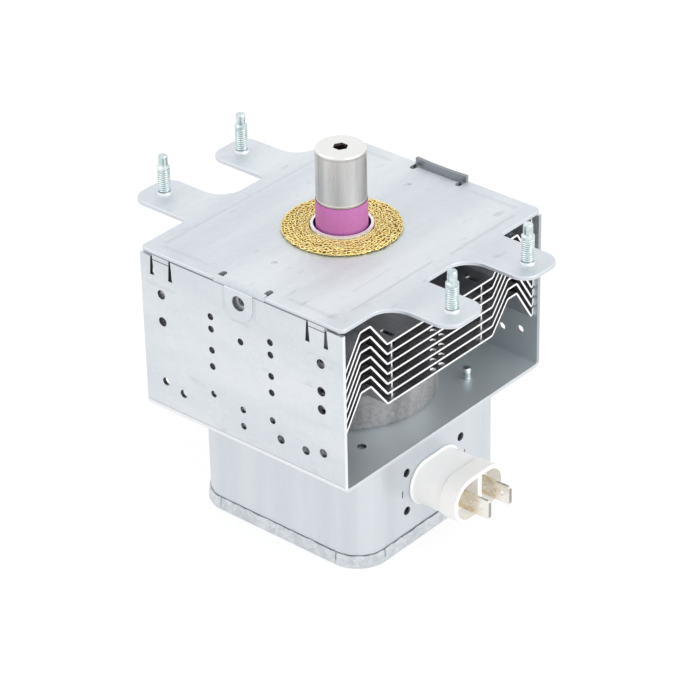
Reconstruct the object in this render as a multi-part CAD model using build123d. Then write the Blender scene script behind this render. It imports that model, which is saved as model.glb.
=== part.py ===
from build123d import *
import math
import os

# A microwave-oven magnetron. Lengths are in millimetres and angles in degrees.
# The origin is on the antenna's axis, at the top plate's upper face. Z points up along
# the antenna, X runs the way the cooling air blows, and Y runs between the closed walls.

# Yoke: a folded frame and the plate that closes it
frame_length = 77.0
frame_width = 90.0
frame_height = 54.0
yoke_sheet = 1.2
yoke_bend = 1.2
far_wall_shift = 1.4
plate_corner = 2.0
fit_gap = 0.1
loose_gap = 0.4

# Ears of the top plate and the studs in them
ear_reach = 61.3
ear_centre_y = 17.1
ear_width = 16.6
ear_end_radius = 5.5
ear_root_radius = 7.5
ear_small_radius = 1.2
stud_inset = 6.5
stud_radius = 1.95
stud_height = 12.8
stud_point_radius = 1.45
stud_point_length = 3.4
stud_shank_step = 0.25
stake_width = 0.4
stake_height = 0.8
stake_land = 0.12

# Corner slits and plate tabs, measured along each closed wall
slit_top_width = 0.6
slit_width = 1.6
slit_depth = 8.0
slit_places = (-34.0, -26.8, 25.6, 32.4)
tab_drop = 1.5
tab_gap = 0.25
corner_drop = 0.8
plate_edge_bend = 0.4

# Middle tongue of each closed wall, and the earth tab that the plate has behind it
tongue_width = 19.4
near_tongue_rise = 0.5
far_tongue_rise = 2.0
tongue_bow = 0.5
relief_place = 8.75
relief_width = 2.0
relief_depth = 4.6
boss_width = 10.8
boss_drop = 11.1
boss_height = 0.3
boss_edge = 0.25
boss_hole_radius = 2.4
boss_hole_drop = 5.2
earth_tab_depth = 10.0
earth_tab_corner = 2.0
earth_tab_bend = 1.0
earth_tab_flat = 2.0
earth_hole_radius = 1.4

# Round holes of a closed wall: distance along the wall, depth below the top, radius
vent_holes = (
    (-30.7, 13.6, 1.5),
    (-30.7, 22.7, 1.5),
    (30.3, 13.6, 1.5),
    (30.3, 22.7, 1.5),
    (30.3, 28.7, 1.5),
    (-30.6, 43.1, 1.35),
    (-23.6, 44.7, 1.35),
    (14.4, 45.1, 1.4),
    (23.9, 45.0, 1.4),
    (30.5, 43.2, 1.4),
)
locating_hole_radius = 1.1
locating_column_x = 11.4
locating_column_drops = (13.8, 17.9, 25.0, 30.5, 39.9)
locating_middle_drops = (17.9, 40.8, 46.4)
dimple_radius = 1.0
dimple_depth = 0.3
dimple_places = ((-1.4, -28.1), (-1.4, 31.9))

# Anode block between the magnets
magnet_height = 12.2
upper_magnet_radius = 23.0
lower_magnet_radius = 28.0
magnet_bore_gap = 0.9
magnet_edge = 0.6
seal_sheet = 0.5
seal_flange_radius = 19.0
anode_radius = 19.3
anode_wall = 2.0
pole_sheet = 1.5
pole_flange_radius = 18.3
pole_cone_radius = 13.0
pole_depth = 6.2
pole_hole_radius = 4.9
pole_rim_radius = 6.4
lead_hole_radius = 2.4
lead_hole_x = 8.3
vane_count = 10
vane_sheet = 2.0
vane_height = 9.5
vane_tip_radius = 4.6
strap_inner_radius = 6.0
strap_sheet = 0.7
strap_spacing = 1.0
strap_height = 1.2
strap_gap = 0.35

# Cooling fins: half of the folded profile, from the middle out to the wall
fin_count = 7
fin_pitch = 3.29
fin_sheet = 0.6
fin_half_length = 36.9
fin_bend = 1.0
fin_lip_bend = 0.5
fin_top_drop = 14.6
fin_magnet_gap = 1.0
fin_crest_gap = 8.2
fin_crest_width = 4.3
fin_rise = 9.2
fin_wall_drop = 3.0
fin_lip_rise = 3.6
fin_collar_height = 1.6
fin_tab_x = 33.2
fin_tab_y = 20.2
fin_tab_length = 4.6
fin_slot_width = 1.5
fin_hole_x = 35.5
fin_hole_y = 1.95
fin_hole_radius = 0.9

# Antenna
sleeve_radius = 9.3
sleeve_rise = 1.7
sleeve_fold = 0.8
ceramic_radius = 7.7
ceramic_bore = 5.2
ceramic_foot_drop = 0.1
ceramic_top = 9.7
cap_radius = 7.5
cap_sheet = 0.5
cap_top = 26.4
cap_edge_radius = 0.7
cap_hex_radius = 2.35
gasket_radius = 18.0
gasket_height = 1.3
antenna_hole_gap = 0.5
exhaust_radius = 3.5
exhaust_wall = 0.8
exhaust_straight_top = 18.5
exhaust_tip_top = 22.5
exhaust_tip_width = 6.4
exhaust_tip_sheet = 2.9
lead_radius = 1.0
lead_foot_x = 9.6

# Cathode and its stem
filament_radius = 1.9
filament_wire = 0.35
filament_turns = 7
filament_height = 8.6
hat_radius = 3.6
hat_sheet = 1.2
hat_boss_height = 0.9
rod_radius = 0.6
rod_offset = 3.0
rod_crank_top = 46.0
rod_crank_bottom = 52.0
stem_top_drop = 59.5
stem_ceramic_height = 7.5

# Filter box and its lid
box_length = 65.6
box_width = 67.0
box_centre_x = 1.3
box_centre_y = 0.2
box_sheet = 0.8
box_corner = 10.0
box_top_radius = 1.6
base_drop = 90.7
lid_sheet = 0.8
lid_flange = 4.5
lid_slit_width = 0.6
lid_edge_radius = 0.7
mark_slit = 0.4
mark_length = 2.4
mark_y = 14.6
screw_radius = 1.5
screw_inset_x = 4.5
screw_inset_y = 9.0
screw_rise = 3.8
screw_head_radius = 3.0
screw_head_height = 1.6
empty_hole_radius = 1.4

# Feed-through capacitor and its blade terminals
inner_half_width = 10.4
inner_half_height = 6.2
neck_half_width = 11.0
neck_half_height = 6.9
neck_length = 11.0
mouth_half_width = 11.5
mouth_half_height = 7.4
mouth_length = 6.3
rim_length = 0.8
rim_growth = 0.6
mould_edge_radius = 0.35
recess_depth = 5.2
recess_wall = 1.2
partition_wall = 1.8
flange_hole_y = 12.6
flange_hole_z = 6.7
flange_hole_radius = 1.4
flange_half_width = 16.0
flange_half_height = 9.4
flange_sheet = 1.0
cover_length = 9.5
cover_wall = 1.0
ceramic_block_length = 7.0
blade_spacing = 9.7
blade_height = 6.2
blade_sheet = 0.8
blade_tip_x = 59.2
blade_root_length = 2.5
blade_hole_radius = 0.75
blade_hole_back = 3.2
conductor_radius = 1.1
conductor_inner_x = 19.5

# Chokes in series with the stem
choke_radius = 3.4
choke_wire = 0.6
choke_turns = 7
choke_start_x = -5.0
choke_length = 18.2
core_gap = 0.1
core_overhang = 1.5
strip_width = 4.0
strip_sheet = 0.8

# Places that follow from the sizes above
half_length = frame_length / 2
half_width = frame_width / 2
stud_x = ear_reach - stud_inset
wall_face = half_width - yoke_sheet
fin_flat_half = upper_magnet_radius + fin_magnet_gap
plate_bottom = -yoke_sheet
floor_bottom = -frame_height
floor_top = floor_bottom + yoke_sheet
flange_top = plate_bottom - magnet_height
anode_top = flange_top - seal_sheet
flange_bottom = floor_top + magnet_height
anode_bottom = flange_bottom + seal_sheet
anode_middle = (anode_top + anode_bottom) / 2
anode_bore = anode_radius - anode_wall
vane_top = anode_middle + vane_height / 2
vane_bottom = anode_middle - vane_height / 2
sleeve_bore = sleeve_radius - seal_sheet
magnet_bore = sleeve_radius + magnet_bore_gap
stem_top = -stem_top_drop
stem_bottom = stem_top - stem_ceramic_height
base_level = -base_drop
box_top = floor_bottom
box_bottom = base_level + lid_sheet
box_face_x = box_centre_x + box_length / 2
screw_x = box_length / 2 - box_centre_x - screw_inset_x
screw_y = box_width / 2 - box_centre_y - screw_inset_y
capacitor_level = stem_bottom - strip_sheet - choke_wire - choke_radius
filament_top = anode_middle + filament_height / 2
filament_bottom = anode_middle - filament_height / 2
blade_half_spacing = blade_spacing / 2
choke_y = blade_half_spacing + choke_radius
core_radius = choke_radius - choke_wire - core_gap
strap_outer_radius = strap_inner_radius + strap_sheet + strap_spacing
both_sides = (-1, 1)


def turned(points):
    """Solid of revolution about Z from the (radius, height) points of its section."""
    return revolve(make_face(Plane.XZ * Polyline(*points, close=True)), Axis.Z)


def ring(outer, inner, bottom, top):
    """Flat-ended ring about Z."""
    return turned([(inner, bottom), (outer, bottom), (outer, top), (inner, top)])


def disc(radius, bottom, top, x=0.0, y=0.0):
    """Upright round bar between two levels."""
    return Pos(x, y, (bottom + top) / 2) * Cylinder(radius, top - bottom)


def bar_x(radius, start, end, y, z):
    """Round bar along X."""
    return Pos((start + end) / 2, y, z) * Rot(0, 90, 0) * Cylinder(radius, end - start)


def block(low, high):
    """Rectangular block between two opposite corners."""
    size = [b - a for a, b in zip(low, high)]
    middle = [(a + b) / 2 for a, b in zip(low, high)]
    return Pos(*middle) * Box(*size)


def far_side(shape):
    """Copy of something at the -Y wall for the +Y wall, whose pattern lies a little further on."""
    return Pos(far_wall_shift, 0, 0) * half_turn(shape)


def half_turn(shape):
    """Shape turned by half a turn about the antenna's axis."""
    return Rot(0, 0, 180) * shape


def mitred(points, shift):
    """Polyline moved sideways to its left by a distance, with mitred corners."""
    moved = []
    for index, (u, v) in enumerate(points):
        before = points[max(index - 1, 0)]
        here = points[index]
        after = points[min(index + 1, len(points) - 1)]
        if index == 0:
            before = (2 * u - after[0], 2 * v - after[1])
        if index == len(points) - 1:
            after = (2 * u - before[0], 2 * v - before[1])
        first = math.atan2(here[1] - before[1], here[0] - before[0])
        second = math.atan2(after[1] - here[1], after[0] - here[0])
        turn = math.remainder(second - first, math.tau)
        side = first + turn / 2 + math.pi / 2
        reach = shift / math.cos(turn / 2)
        moved.append((u + reach * math.cos(side), v + reach * math.sin(side)))
    return moved


def turns_left(points):
    """True for each inner corner of a polyline that turns to the left."""
    answers = []
    for (a, b), (c, d), (e, f) in zip(points, points[1:], points[2:]):
        answers.append((c - a) * (f - d) - (d - b) * (e - c) > 0)
    return answers


def sheet_section(points, sheet, bends):
    """Face of a folded sheet about its middle line, with concentric bends at its corners."""
    left = mitred(points, sheet / 2)
    right = mitred(points, -sheet / 2)
    lean = [sheet / 2 if turn else -sheet / 2 for turn in turns_left(points)]
    left_radii = [bend - offset for bend, offset in zip(bends, lean)]
    right_radii = [bend + offset for bend, offset in zip(bends, lean)]
    one_side = FilletPolyline(*left, radius=left_radii)
    other_side = FilletPolyline(*right, radius=right_radii)
    ends = Line(one_side @ 0, other_side @ 0) + Line(one_side @ 1, other_side @ 1)
    return make_face(one_side + other_side + ends)


def along_x(section, half):
    """Section drawn in Y and Z, extruded both ways along X."""
    return Pos(-half, 0, 0) * extrude(Plane.YZ * section, 2 * half)


def stadium_x(half_wide, half_high, start, end, level=capacitor_level):
    """Bar of stadium section along X, wider in Y than in Z."""
    section = SlotOverall(2 * half_wide, 2 * half_high)
    return Pos(start, 0, level) * extrude(Plane.YZ * section, end - start)


def soft_stadium_x(half_wide, half_high, start, end):
    """Bar of stadium section along X with rounded end edges."""
    body = stadium_x(half_wide, half_high, start, end)
    ends = body.edges().group_by(Axis.X)
    return fillet(ends[0] + ends[-1], mould_edge_radius)


def rounded_post(length, width, radius, bottom, top):
    """Upright prism with rounded corners, on the filter box's own axis."""
    section = RectangleRounded(length, width, radius)
    return Pos(box_centre_x, box_centre_y, bottom) * extrude(section, top - bottom)


def wall_hole(x, drop, radius):
    """Cutter for a round hole in the -Y wall."""
    return Pos(x, -half_width, -drop) * Rot(90, 0, 0) * Cylinder(radius, 8 * yoke_sheet)


def tongue_strip(inset, depth, bottom, top):
    """Upright strip with a bowed plan at the middle of the -Y wall."""
    near = -half_width + inset
    far = near + depth
    side = tongue_width / 2
    bowed = ThreePointArc((-side, near), (0, near + tongue_bow), (side, near))
    back = ThreePointArc((-side, far), (0, far + tongue_bow), (side, far))
    ends = Line(bowed @ 0, back @ 0) + Line(bowed @ 1, back @ 1)
    return Pos(0, 0, bottom) * extrude(make_face(bowed + back + ends), top - bottom)


def wall_boss():
    """Rounded boss pressed out of the -Y wall round the middle hole."""
    half = boss_width / 2
    bottom_arc = ThreePointArc((-half, half - boss_drop), (0, -boss_drop), (half, half - boss_drop))
    rest = Polyline(bottom_arc @ 0, (-half, plate_bottom), (half, plate_bottom), bottom_arc @ 1)
    face = Plane.XZ.offset(half_width - yoke_sheet / 2) * make_face(bottom_arc + rest)
    boss = extrude(face, yoke_sheet / 2 + boss_height)
    return fillet(boss.edges().group_by(Axis.Y)[0], boss_edge)


def wall_cuts():
    """Everything that is cut out of the -Y wall."""
    cuts = [wall_hole(x, drop, radius) for x, drop, radius in vent_holes]
    for side in both_sides:
        for drop in locating_column_drops:
            cuts.append(wall_hole(side * locating_column_x, drop, locating_hole_radius))
    for drop in locating_middle_drops:
        cuts.append(wall_hole(0, drop, locating_hole_radius))
    for place in slit_places:
        cuts.append(wall_slit(place))
    for start, end in tab_spans():
        low = (start, -half_width - 1, plate_bottom - tab_drop - tab_gap)
        high = (end, -wall_face + 1, plate_bottom)
        cuts.append(block(low, high))
    for start, end in ((-half_length, slit_places[0]), (slit_places[-1], half_length)):
        low = (start, -half_width - 1, plate_bottom - corner_drop)
        high = (end, -wall_face + 1, plate_bottom)
        cuts.append(block(low, high))
    cuts.append(wall_hole(0, boss_hole_drop, boss_hole_radius))
    return cuts


def wall_slit(place):
    """Slit in the -Y wall that widens downwards."""
    corners = [
        (place - slit_top_width / 2, plate_bottom),
        (place + slit_top_width / 2, plate_bottom),
        (place + slit_width / 2, -slit_depth),
        (place - slit_width / 2, -slit_depth),
    ]
    face = Plane.XZ.offset(wall_face - 1) * make_face(Polyline(*corners, close=True))
    return extrude(face, yoke_sheet + 2)


def tab_spans():
    """Start and end, along the wall, of each space between a pair of corner slits."""
    pairs = zip(slit_places[::2], slit_places[1::2])
    return [(first + slit_top_width / 2, second - slit_top_width / 2) for first, second in pairs]


def earth_tab_half():
    """Half the width of the earth tab, which fills the space between the two relief cuts."""
    return relief_place - relief_width / 2


def earth_tab():
    """Tab of the plate, bent down behind the -Y wall's boss, with the hole for an earth screw."""
    front = -wall_face + fit_gap + yoke_sheet / 2
    middle = plate_bottom / 2
    path = [(front + earth_tab_flat + 1, middle), (front, middle), (front, -earth_tab_depth)]
    tab = along_x(sheet_section(path, yoke_sheet, [earth_tab_bend]), earth_tab_half())
    tab = fillet(tab.edges().filter_by(Axis.Y).group_by(Axis.Z)[0], earth_tab_corner)
    tab -= tongue_strip(-fit_gap, yoke_sheet + 2 * fit_gap, plate_bottom - fit_gap, 1)
    return tab - wall_hole(0, boss_hole_drop, earth_hole_radius)


def make_yoke_frame():
    """Folded U of two closed walls and a floor, open at both X ends."""
    middle = half_width - yoke_sheet / 2
    low = floor_bottom + yoke_sheet / 2
    profile = [(-middle, plate_bottom), (-middle, low), (middle, low), (middle, plate_bottom)]
    body = along_x(sheet_section(profile, yoke_sheet, [yoke_bend] * 2), half_length)
    boss = wall_boss()
    body += boss + tongue_strip(0, yoke_sheet, plate_bottom, near_tongue_rise)
    body += far_side(boss + tongue_strip(0, yoke_sheet, plate_bottom, far_tongue_rise))
    cuts = wall_cuts()
    cuts += [far_side(cut) for cut in cuts]
    cuts.append(disc(sleeve_radius + loose_gap, floor_bottom - 1, floor_top + 1))
    for x, y in screw_places():
        cuts.append(disc(screw_radius, floor_bottom - 1, floor_top + 1, x, y))
    for x, y in empty_hole_places():
        cuts.append(disc(empty_hole_radius, floor_bottom - 1, floor_top + 1, x, y))
    return body - cuts


def screw_places():
    """Middles of the two screws that hold the filter box."""
    return [(side * screw_x, side * screw_y) for side in both_sides]


def empty_hole_places():
    """Middles of the two spare holes beside the screws."""
    return [(side * screw_x, -side * screw_y) for side in both_sides]


def ear_outline():
    """Plan of the plate with the pair of ears on its +X side only."""
    root = half_length - 2 * ear_root_radius
    plan = RectangleRounded(frame_length, frame_width, plate_corner)
    for side in both_sides:
        middle = Pos((root + ear_reach) / 2, side * ear_centre_y)
        ear = Rectangle(ear_reach - root, ear_width)
        outer = ear.vertices().sort_by(Axis.X)[-2:]
        plan += middle * fillet(outer, ear_end_radius)
    return plan


def ear_roots(plan, side):
    """Corners where the ears leave the plate, on one side of each ear."""
    edge_y = [centre * ear_centre_y + side * ear_width / 2 for centre in both_sides]
    return [
        corner
        for corner in plan.vertices()
        if abs(corner.X - half_length) < 1e-3 and min(abs(corner.Y - y) for y in edge_y) < 1e-3
    ]


def make_top_yoke_plate():
    """Plate with its four ears, corner tabs, relief notches, tongue notches and antenna hole."""
    plan = ear_outline()
    plan = fillet(ear_roots(plan, -1), ear_root_radius)
    plan = fillet(ear_roots(plan, 1), ear_small_radius)
    half_plan = plan & Pos(frame_length, 0) * Rectangle(2 * frame_length, 2 * frame_width)
    plate = Pos(0, 0, plate_bottom) * extrude(half_plan + half_turn(half_plan), yoke_sheet)
    side_edges = [
        edge
        for edge in plate.edges().filter_by(Axis.X).group_by(Axis.Z)[-1]
        if abs(abs(edge.center().Y) - half_width) < 1e-3
    ]
    plate = fillet(side_edges, plate_edge_bend)
    extras = []
    for start, end in tab_spans():
        low = (start + fit_gap, -half_width, plate_bottom - tab_drop)
        extras.append(block(low, (end - fit_gap, -wall_face, plate_bottom)))
    notch = block(
        (-tongue_width / 2 - fit_gap, -half_width - 1, plate_bottom - 1),
        (tongue_width / 2 + fit_gap, -wall_face, 1),
    )
    notch += tongue_strip(-fit_gap, yoke_sheet + 2 * fit_gap, plate_bottom - 1, 1)
    bend_end = -wall_face + fit_gap + yoke_sheet / 2 + earth_tab_flat
    notch += block(
        (-earth_tab_half(), -half_width - 1, plate_bottom - 1), (earth_tab_half(), bend_end, 1)
    )
    for side in both_sides:
        middle = side * relief_place
        end = -half_width + relief_depth - relief_width / 2
        low = (middle - relief_width / 2, -half_width - 1, plate_bottom - 1)
        notch += block(low, (middle + relief_width / 2, end, 1))
        notch += disc(relief_width / 2, low[2], 1, middle, end)
    plate = plate + extras + [far_side(tab) for tab in extras]
    cuts = [notch, far_side(notch)]
    cuts.append(disc(sleeve_radius + antenna_hole_gap, plate_bottom - 1, 1))
    for x, y in stud_places():
        cuts.append(disc(stud_radius + stud_shank_step, plate_bottom - 1, 1, x, y))
    for x, y in dimple_places:
        cuts.append(disc(dimple_radius, -dimple_depth, 1, x, y))
    stakes = [Pos(x, y, 0) * make_stake() for x, y in stud_places()]
    return plate - cuts + stakes + [earth_tab(), far_side(earth_tab())]


def make_stake():
    """Plate metal staked over a stud's shoulder, which holds the stud in its ear."""
    section = [
        (stud_radius, 0),
        (stud_radius + stake_width, 0),
        (stud_radius + stake_land, stake_height),
        (stud_radius, stake_height),
    ]
    return turned(section)


def stud_places():
    """Middles of the four studs."""
    return [(a * stud_x, b * ear_centre_y) for a in both_sides for b in both_sides]


def make_mounting_studs():
    """Four studs pressed into the ears, each with a thicker shank and a narrower point."""
    point_start = stud_height - stud_point_length
    slope = stud_radius - stud_point_radius
    profile = [
        (0, plate_bottom),
        (stud_radius + stud_shank_step, plate_bottom),
        (stud_radius + stud_shank_step, 0),
        (stud_radius, 0),
        (stud_radius, point_start - slope),
        (stud_point_radius, point_start),
        (stud_point_radius, stud_height - slope),
        (stud_point_radius - slope, stud_height),
        (0, stud_height),
    ]
    stud = turned(profile)
    return Compound(children=[Pos(x, y, 0) * stud for x, y in stud_places()])


def make_magnet(radius, bottom):
    """Ferrite ring with slightly broken edges."""
    top = bottom + magnet_height
    body = ring(radius, magnet_bore, bottom, top)
    return chamfer(body.edges().filter_by(GeomType.CIRCLE).sort_by(SortBy.RADIUS)[-2:], magnet_edge)


def fin_profile(level):
    """Middle line of one fin, from wall to wall, as (y, z) points."""
    lip_y = wall_face - fin_sheet / 2
    crest_y = wall_face - fin_crest_gap
    half = [
        (fin_flat_half, level),
        (crest_y - fin_crest_width, level + fin_rise),
        (crest_y, level + fin_rise),
        (lip_y, level - fin_wall_drop),
        (lip_y, level - fin_wall_drop + fin_lip_rise),
    ]
    return [(-y, z) for y, z in reversed(half)] + half


def make_cooling_fin(index):
    """One folded fin with its collar, spacer tabs and punched holes."""
    level = -fin_top_drop - index * fin_pitch
    bends = [fin_lip_bend] + [fin_bend] * 6 + [fin_lip_bend]
    body = along_x(sheet_section(fin_profile(level), fin_sheet, bends), fin_half_length)
    under = level - fin_sheet / 2
    over = level + fin_sheet / 2
    body += disc(anode_radius + fin_sheet, under - fin_collar_height, level)
    body -= disc(anode_radius, under - fin_collar_height - 1, over + 1)
    tab_drop_length = fin_pitch - fin_sheet
    for a in both_sides:
        for b in both_sides:
            outer = b * fin_tab_y
            inner = b * (fin_tab_y - fin_slot_width)
            start = a * fin_tab_x - fin_tab_length / 2
            end = a * fin_tab_x + fin_tab_length / 2
            body -= block((start, min(outer, inner), under - 1), (end, max(outer, inner), over + 1))
            if index < fin_count - 1:
                far = outer + b * fin_sheet
                low = (start, min(outer, far), under - tab_drop_length)
                body += block(low, (end, max(outer, far), level))
            body -= disc(fin_hole_radius, under - 1, over + 1, a * fin_hole_x, b * fin_hole_y)
    return body


def make_anode_cylinder():
    """Copper cylinder with a counterbore for a pole piece at each end."""
    seat = pole_flange_radius
    return turned(
        [
            (anode_bore, anode_bottom + pole_sheet),
            (seat, anode_bottom + pole_sheet),
            (seat, anode_bottom),
            (anode_radius, anode_bottom),
            (anode_radius, anode_top),
            (seat, anode_top),
            (seat, anode_top - pole_sheet),
            (anode_bore, anode_top - pole_sheet),
        ]
    )


def make_anode_vane(index):
    """Radial copper plate, notched for the strap rings at its upper and lower edges."""
    plate = block((vane_tip_radius, -vane_sheet / 2, vane_bottom), (anode_radius, vane_sheet / 2, vane_top))
    plate = plate & disc(anode_bore, vane_bottom, vane_top)
    straps = ((strap_inner_radius, index % 2 == 0), (strap_outer_radius, index % 2 == 1))
    for start, touches in straps:
        spare = 0 if touches else strap_gap
        outer = start + strap_sheet + spare
        deep = strap_height + spare
        plate -= ring(outer, start - spare, vane_top - deep, vane_top)
        plate -= ring(outer, start - spare, vane_bottom, vane_bottom + deep)
    return Rot(0, 0, index * 360 / vane_count) * plate


def make_strap(start, edge, into):
    """Flat ring that joins every other vane at one edge of the vanes."""
    bottom = min(edge, edge + into * strap_height)
    return ring(start + strap_sheet, start, bottom, bottom + strap_height)


def pole_profile():
    """Section of the upper pole piece."""
    flange = anode_top
    tip = anode_top - pole_depth
    return [
        (pole_cone_radius, flange),
        (pole_flange_radius, flange),
        (pole_flange_radius, flange - pole_sheet),
        (pole_cone_radius - 1, flange - pole_sheet),
        (pole_rim_radius, tip),
        (pole_hole_radius, tip),
        (pole_hole_radius, tip + pole_sheet),
        (pole_rim_radius + pole_sheet / 2, tip + pole_sheet),
    ]


def make_upper_pole_piece():
    """Iron funnel above the vanes, with an offset hole for the antenna lead."""
    return turned(pole_profile()) - disc(lead_hole_radius, vane_top, 0, lead_hole_x)


def make_lower_pole_piece():
    """Iron funnel below the vanes."""
    return turned([(radius, 2 * anode_middle - z) for radius, z in pole_profile()])


def make_upper_seal_cup():
    """Flanged sleeve that comes up through the plate, folded in round the ceramic's foot."""
    shelf = -ceramic_foot_drop
    fold_inner = sleeve_bore - sleeve_fold + seal_sheet
    return turned(
        [
            (sleeve_bore, anode_top),
            (seal_flange_radius, anode_top),
            (seal_flange_radius, flange_top),
            (sleeve_radius, flange_top),
            (sleeve_radius, sleeve_rise),
            (fold_inner, sleeve_rise),
            (fold_inner, shelf),
            (ceramic_bore, shelf),
            (ceramic_bore, shelf - seal_sheet),
            (sleeve_bore, shelf - seal_sheet),
        ]
    )


def make_lower_seal_cup():
    """Flanged sleeve that reaches down into the filter box and holds the stem's ceramic."""
    end = stem_top - stem_ceramic_height / 2
    return turned(
        [
            (sleeve_bore, end),
            (sleeve_radius, end),
            (sleeve_radius, flange_bottom),
            (seal_flange_radius, flange_bottom),
            (seal_flange_radius, anode_bottom),
            (sleeve_bore, anode_bottom),
        ]
    )


def make_antenna_insulator():
    """Alumina tube between the sleeve and the antenna's cap."""
    return ring(ceramic_radius, ceramic_bore, -ceramic_foot_drop, ceramic_top)


def make_antenna_seal():
    """Metal disc on the ceramic, with a collar round the exhaust tube."""
    top = ceramic_top + seal_sheet
    collar = exhaust_radius + seal_sheet
    outer = cap_radius - cap_sheet - fit_gap
    return turned(
        [
            (exhaust_radius, ceramic_top),
            (outer, ceramic_top),
            (outer, top),
            (collar, top),
            (collar, top + 2 * seal_sheet),
            (exhaust_radius, top + 2 * seal_sheet),
        ]
    )


def make_antenna_cap():
    """Drawn cap with a rounded shoulder and a hexagonal hole in its top."""
    outer = disc(cap_radius, ceramic_top, cap_top)
    outer = fillet(outer.edges().group_by(Axis.Z)[-1], cap_edge_radius)
    inner = disc(cap_radius - cap_sheet, ceramic_top - 1, cap_top - 2 * cap_sheet)
    hexagon = Pos(0, 0, ceramic_top) * extrude(RegularPolygon(cap_hex_radius, 6), cap_top)
    return outer - inner - hexagon


def make_exhaust_tube():
    """Copper tube, flattened and pinched off above the lead."""
    bottom = ceramic_top - 2 * seal_sheet
    tube = disc(exhaust_radius, bottom, exhaust_straight_top)
    low = Pos(0, 0, exhaust_straight_top) * Circle(exhaust_radius)
    high = Pos(0, 0, exhaust_tip_top) * SlotOverall(exhaust_tip_width, exhaust_tip_sheet)
    pinch = loft(Sketch() + [low, high])
    bore = disc(exhaust_radius - exhaust_wall, bottom - 1, exhaust_straight_top)
    return tube + pinch - bore - disc(lead_radius, bottom, exhaust_tip_top - 1)


def make_antenna_lead():
    """Copper rod from one vane, bent in through the pole piece and up the exhaust tube."""
    neck = pole_depth - pole_sheet
    points = [
        (lead_foot_x, 0, vane_top),
        (lead_foot_x, 0, anode_top - pole_depth + 1),
        (lead_foot_x - neck, 0, anode_top + 1),
        (0, 0, anode_top + 1 + lead_foot_x),
        (0, 0, exhaust_tip_top - 1),
    ]
    path = FilletPolyline(*points, radius=2 * lead_radius)
    return sweep(Plane(path @ 0, z_dir=path % 0) * Circle(lead_radius), path)


def make_rf_gasket():
    """Flat ring of woven wire, with rounded edges."""
    body = ring(gasket_radius, sleeve_radius + fit_gap, 0, gasket_height)
    edges = body.edges().filter_by(GeomType.CIRCLE).group_by(Axis.Z)[-1]
    return fillet(edges, gasket_height / 3)


def helix_wire(radius, wire, turns, length):
    """Round wire wound about Z, from z = 0 upwards, starting at +X."""
    path = Helix(pitch=length / turns, height=length, radius=radius)
    return sweep(Plane(path @ 0, z_dir=path % 0) * RegularPolygon(wire, 6), path, is_frenet=True)


def make_filament():
    """Wound cathode between its end hats."""
    coil = helix_wire(filament_radius, filament_wire, filament_turns, filament_height)
    return Pos(0, 0, filament_bottom) * coil


def make_top_end_hat():
    """Upper hat, on the end of the centre rod."""
    boss = filament_radius - filament_wire
    top = filament_top + filament_wire + hat_sheet
    return turned(
        [
            (rod_radius, filament_top - hat_boss_height),
            (boss, filament_top - hat_boss_height),
            (boss, filament_top + filament_wire),
            (hat_radius, filament_top + filament_wire),
            (hat_radius, top),
            (rod_radius, top),
        ]
    )


def make_bottom_end_hat():
    """Lower hat, held by the side rod and clear of the centre rod."""
    boss = filament_radius - filament_wire
    bottom = filament_bottom - filament_wire - hat_sheet
    return turned(
        [
            (rod_radius + loose_gap, bottom),
            (hat_radius, bottom),
            (hat_radius, bottom + hat_sheet),
            (boss, bottom + hat_sheet),
            (boss, filament_bottom + hat_boss_height),
            (rod_radius + loose_gap, filament_bottom + hat_boss_height),
        ]
    )


def make_centre_support_rod():
    """Rod from the stem to the top hat, cranked to the cathode's axis."""
    points = [
        (0, 0, filament_top + filament_wire + hat_sheet),
        (0, 0, -rod_crank_top),
        (0, rod_offset, -rod_crank_bottom),
        (0, rod_offset, stem_bottom - strip_sheet),
    ]
    path = FilletPolyline(*points, radius=2 * rod_radius)
    return sweep(Plane(path @ 0, z_dir=path % 0) * Circle(rod_radius), path)


def make_side_support_rod():
    """Straight rod from the stem to the underside of the bottom hat."""
    top = filament_bottom - filament_wire - hat_sheet
    return disc(rod_radius, stem_bottom - strip_sheet, top, 0, -rod_offset)


def make_stem_insulator():
    """Alumina plug in the end of the lower sleeve, pierced for the two rods."""
    body = disc(sleeve_bore, stem_bottom, stem_top)
    for side in both_sides:
        body -= disc(rod_radius, stem_bottom - 1, stem_top + 1, 0, side * rod_offset)
    return body


def make_stem_terminal(side):
    """Strip under the ceramic from one rod out to its choke."""
    top = stem_bottom
    reach = choke_y + strip_width / 3
    inner = rod_offset - strip_width / 2
    low = (choke_start_x - strip_width / 2, min(side * inner, side * reach), top - strip_sheet)
    high = (strip_width / 2, max(side * inner, side * reach), top)
    hole = disc(rod_radius, top - strip_sheet - 1, top + 1, 0, side * rod_offset)
    return block(low, high) - hole


def make_choke_coil(side):
    """Wound choke along X, from under its stem terminal to the capacitor's conductor."""
    coil = helix_wire(choke_radius, choke_wire, choke_turns + 0.25, choke_length)
    coil = Rot(0, 90, 0) * Rot(0, 0, 180) * coil
    lead = bar_x(choke_wire, choke_length, conductor_inner_x - choke_start_x, -choke_radius, 0)
    choke = coil + lead + Pos(choke_length, -choke_radius, 0) * Sphere(choke_wire)
    if side < 0:
        choke = mirror(choke, Plane.XZ)
    return Pos(choke_start_x, side * choke_y, capacitor_level) * choke


def make_choke_core(side):
    """Ferrite rod inside a choke."""
    start = choke_start_x + core_overhang
    end = choke_start_x + choke_length - core_overhang
    return bar_x(core_radius, start, end, side * choke_y, capacitor_level)


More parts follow.
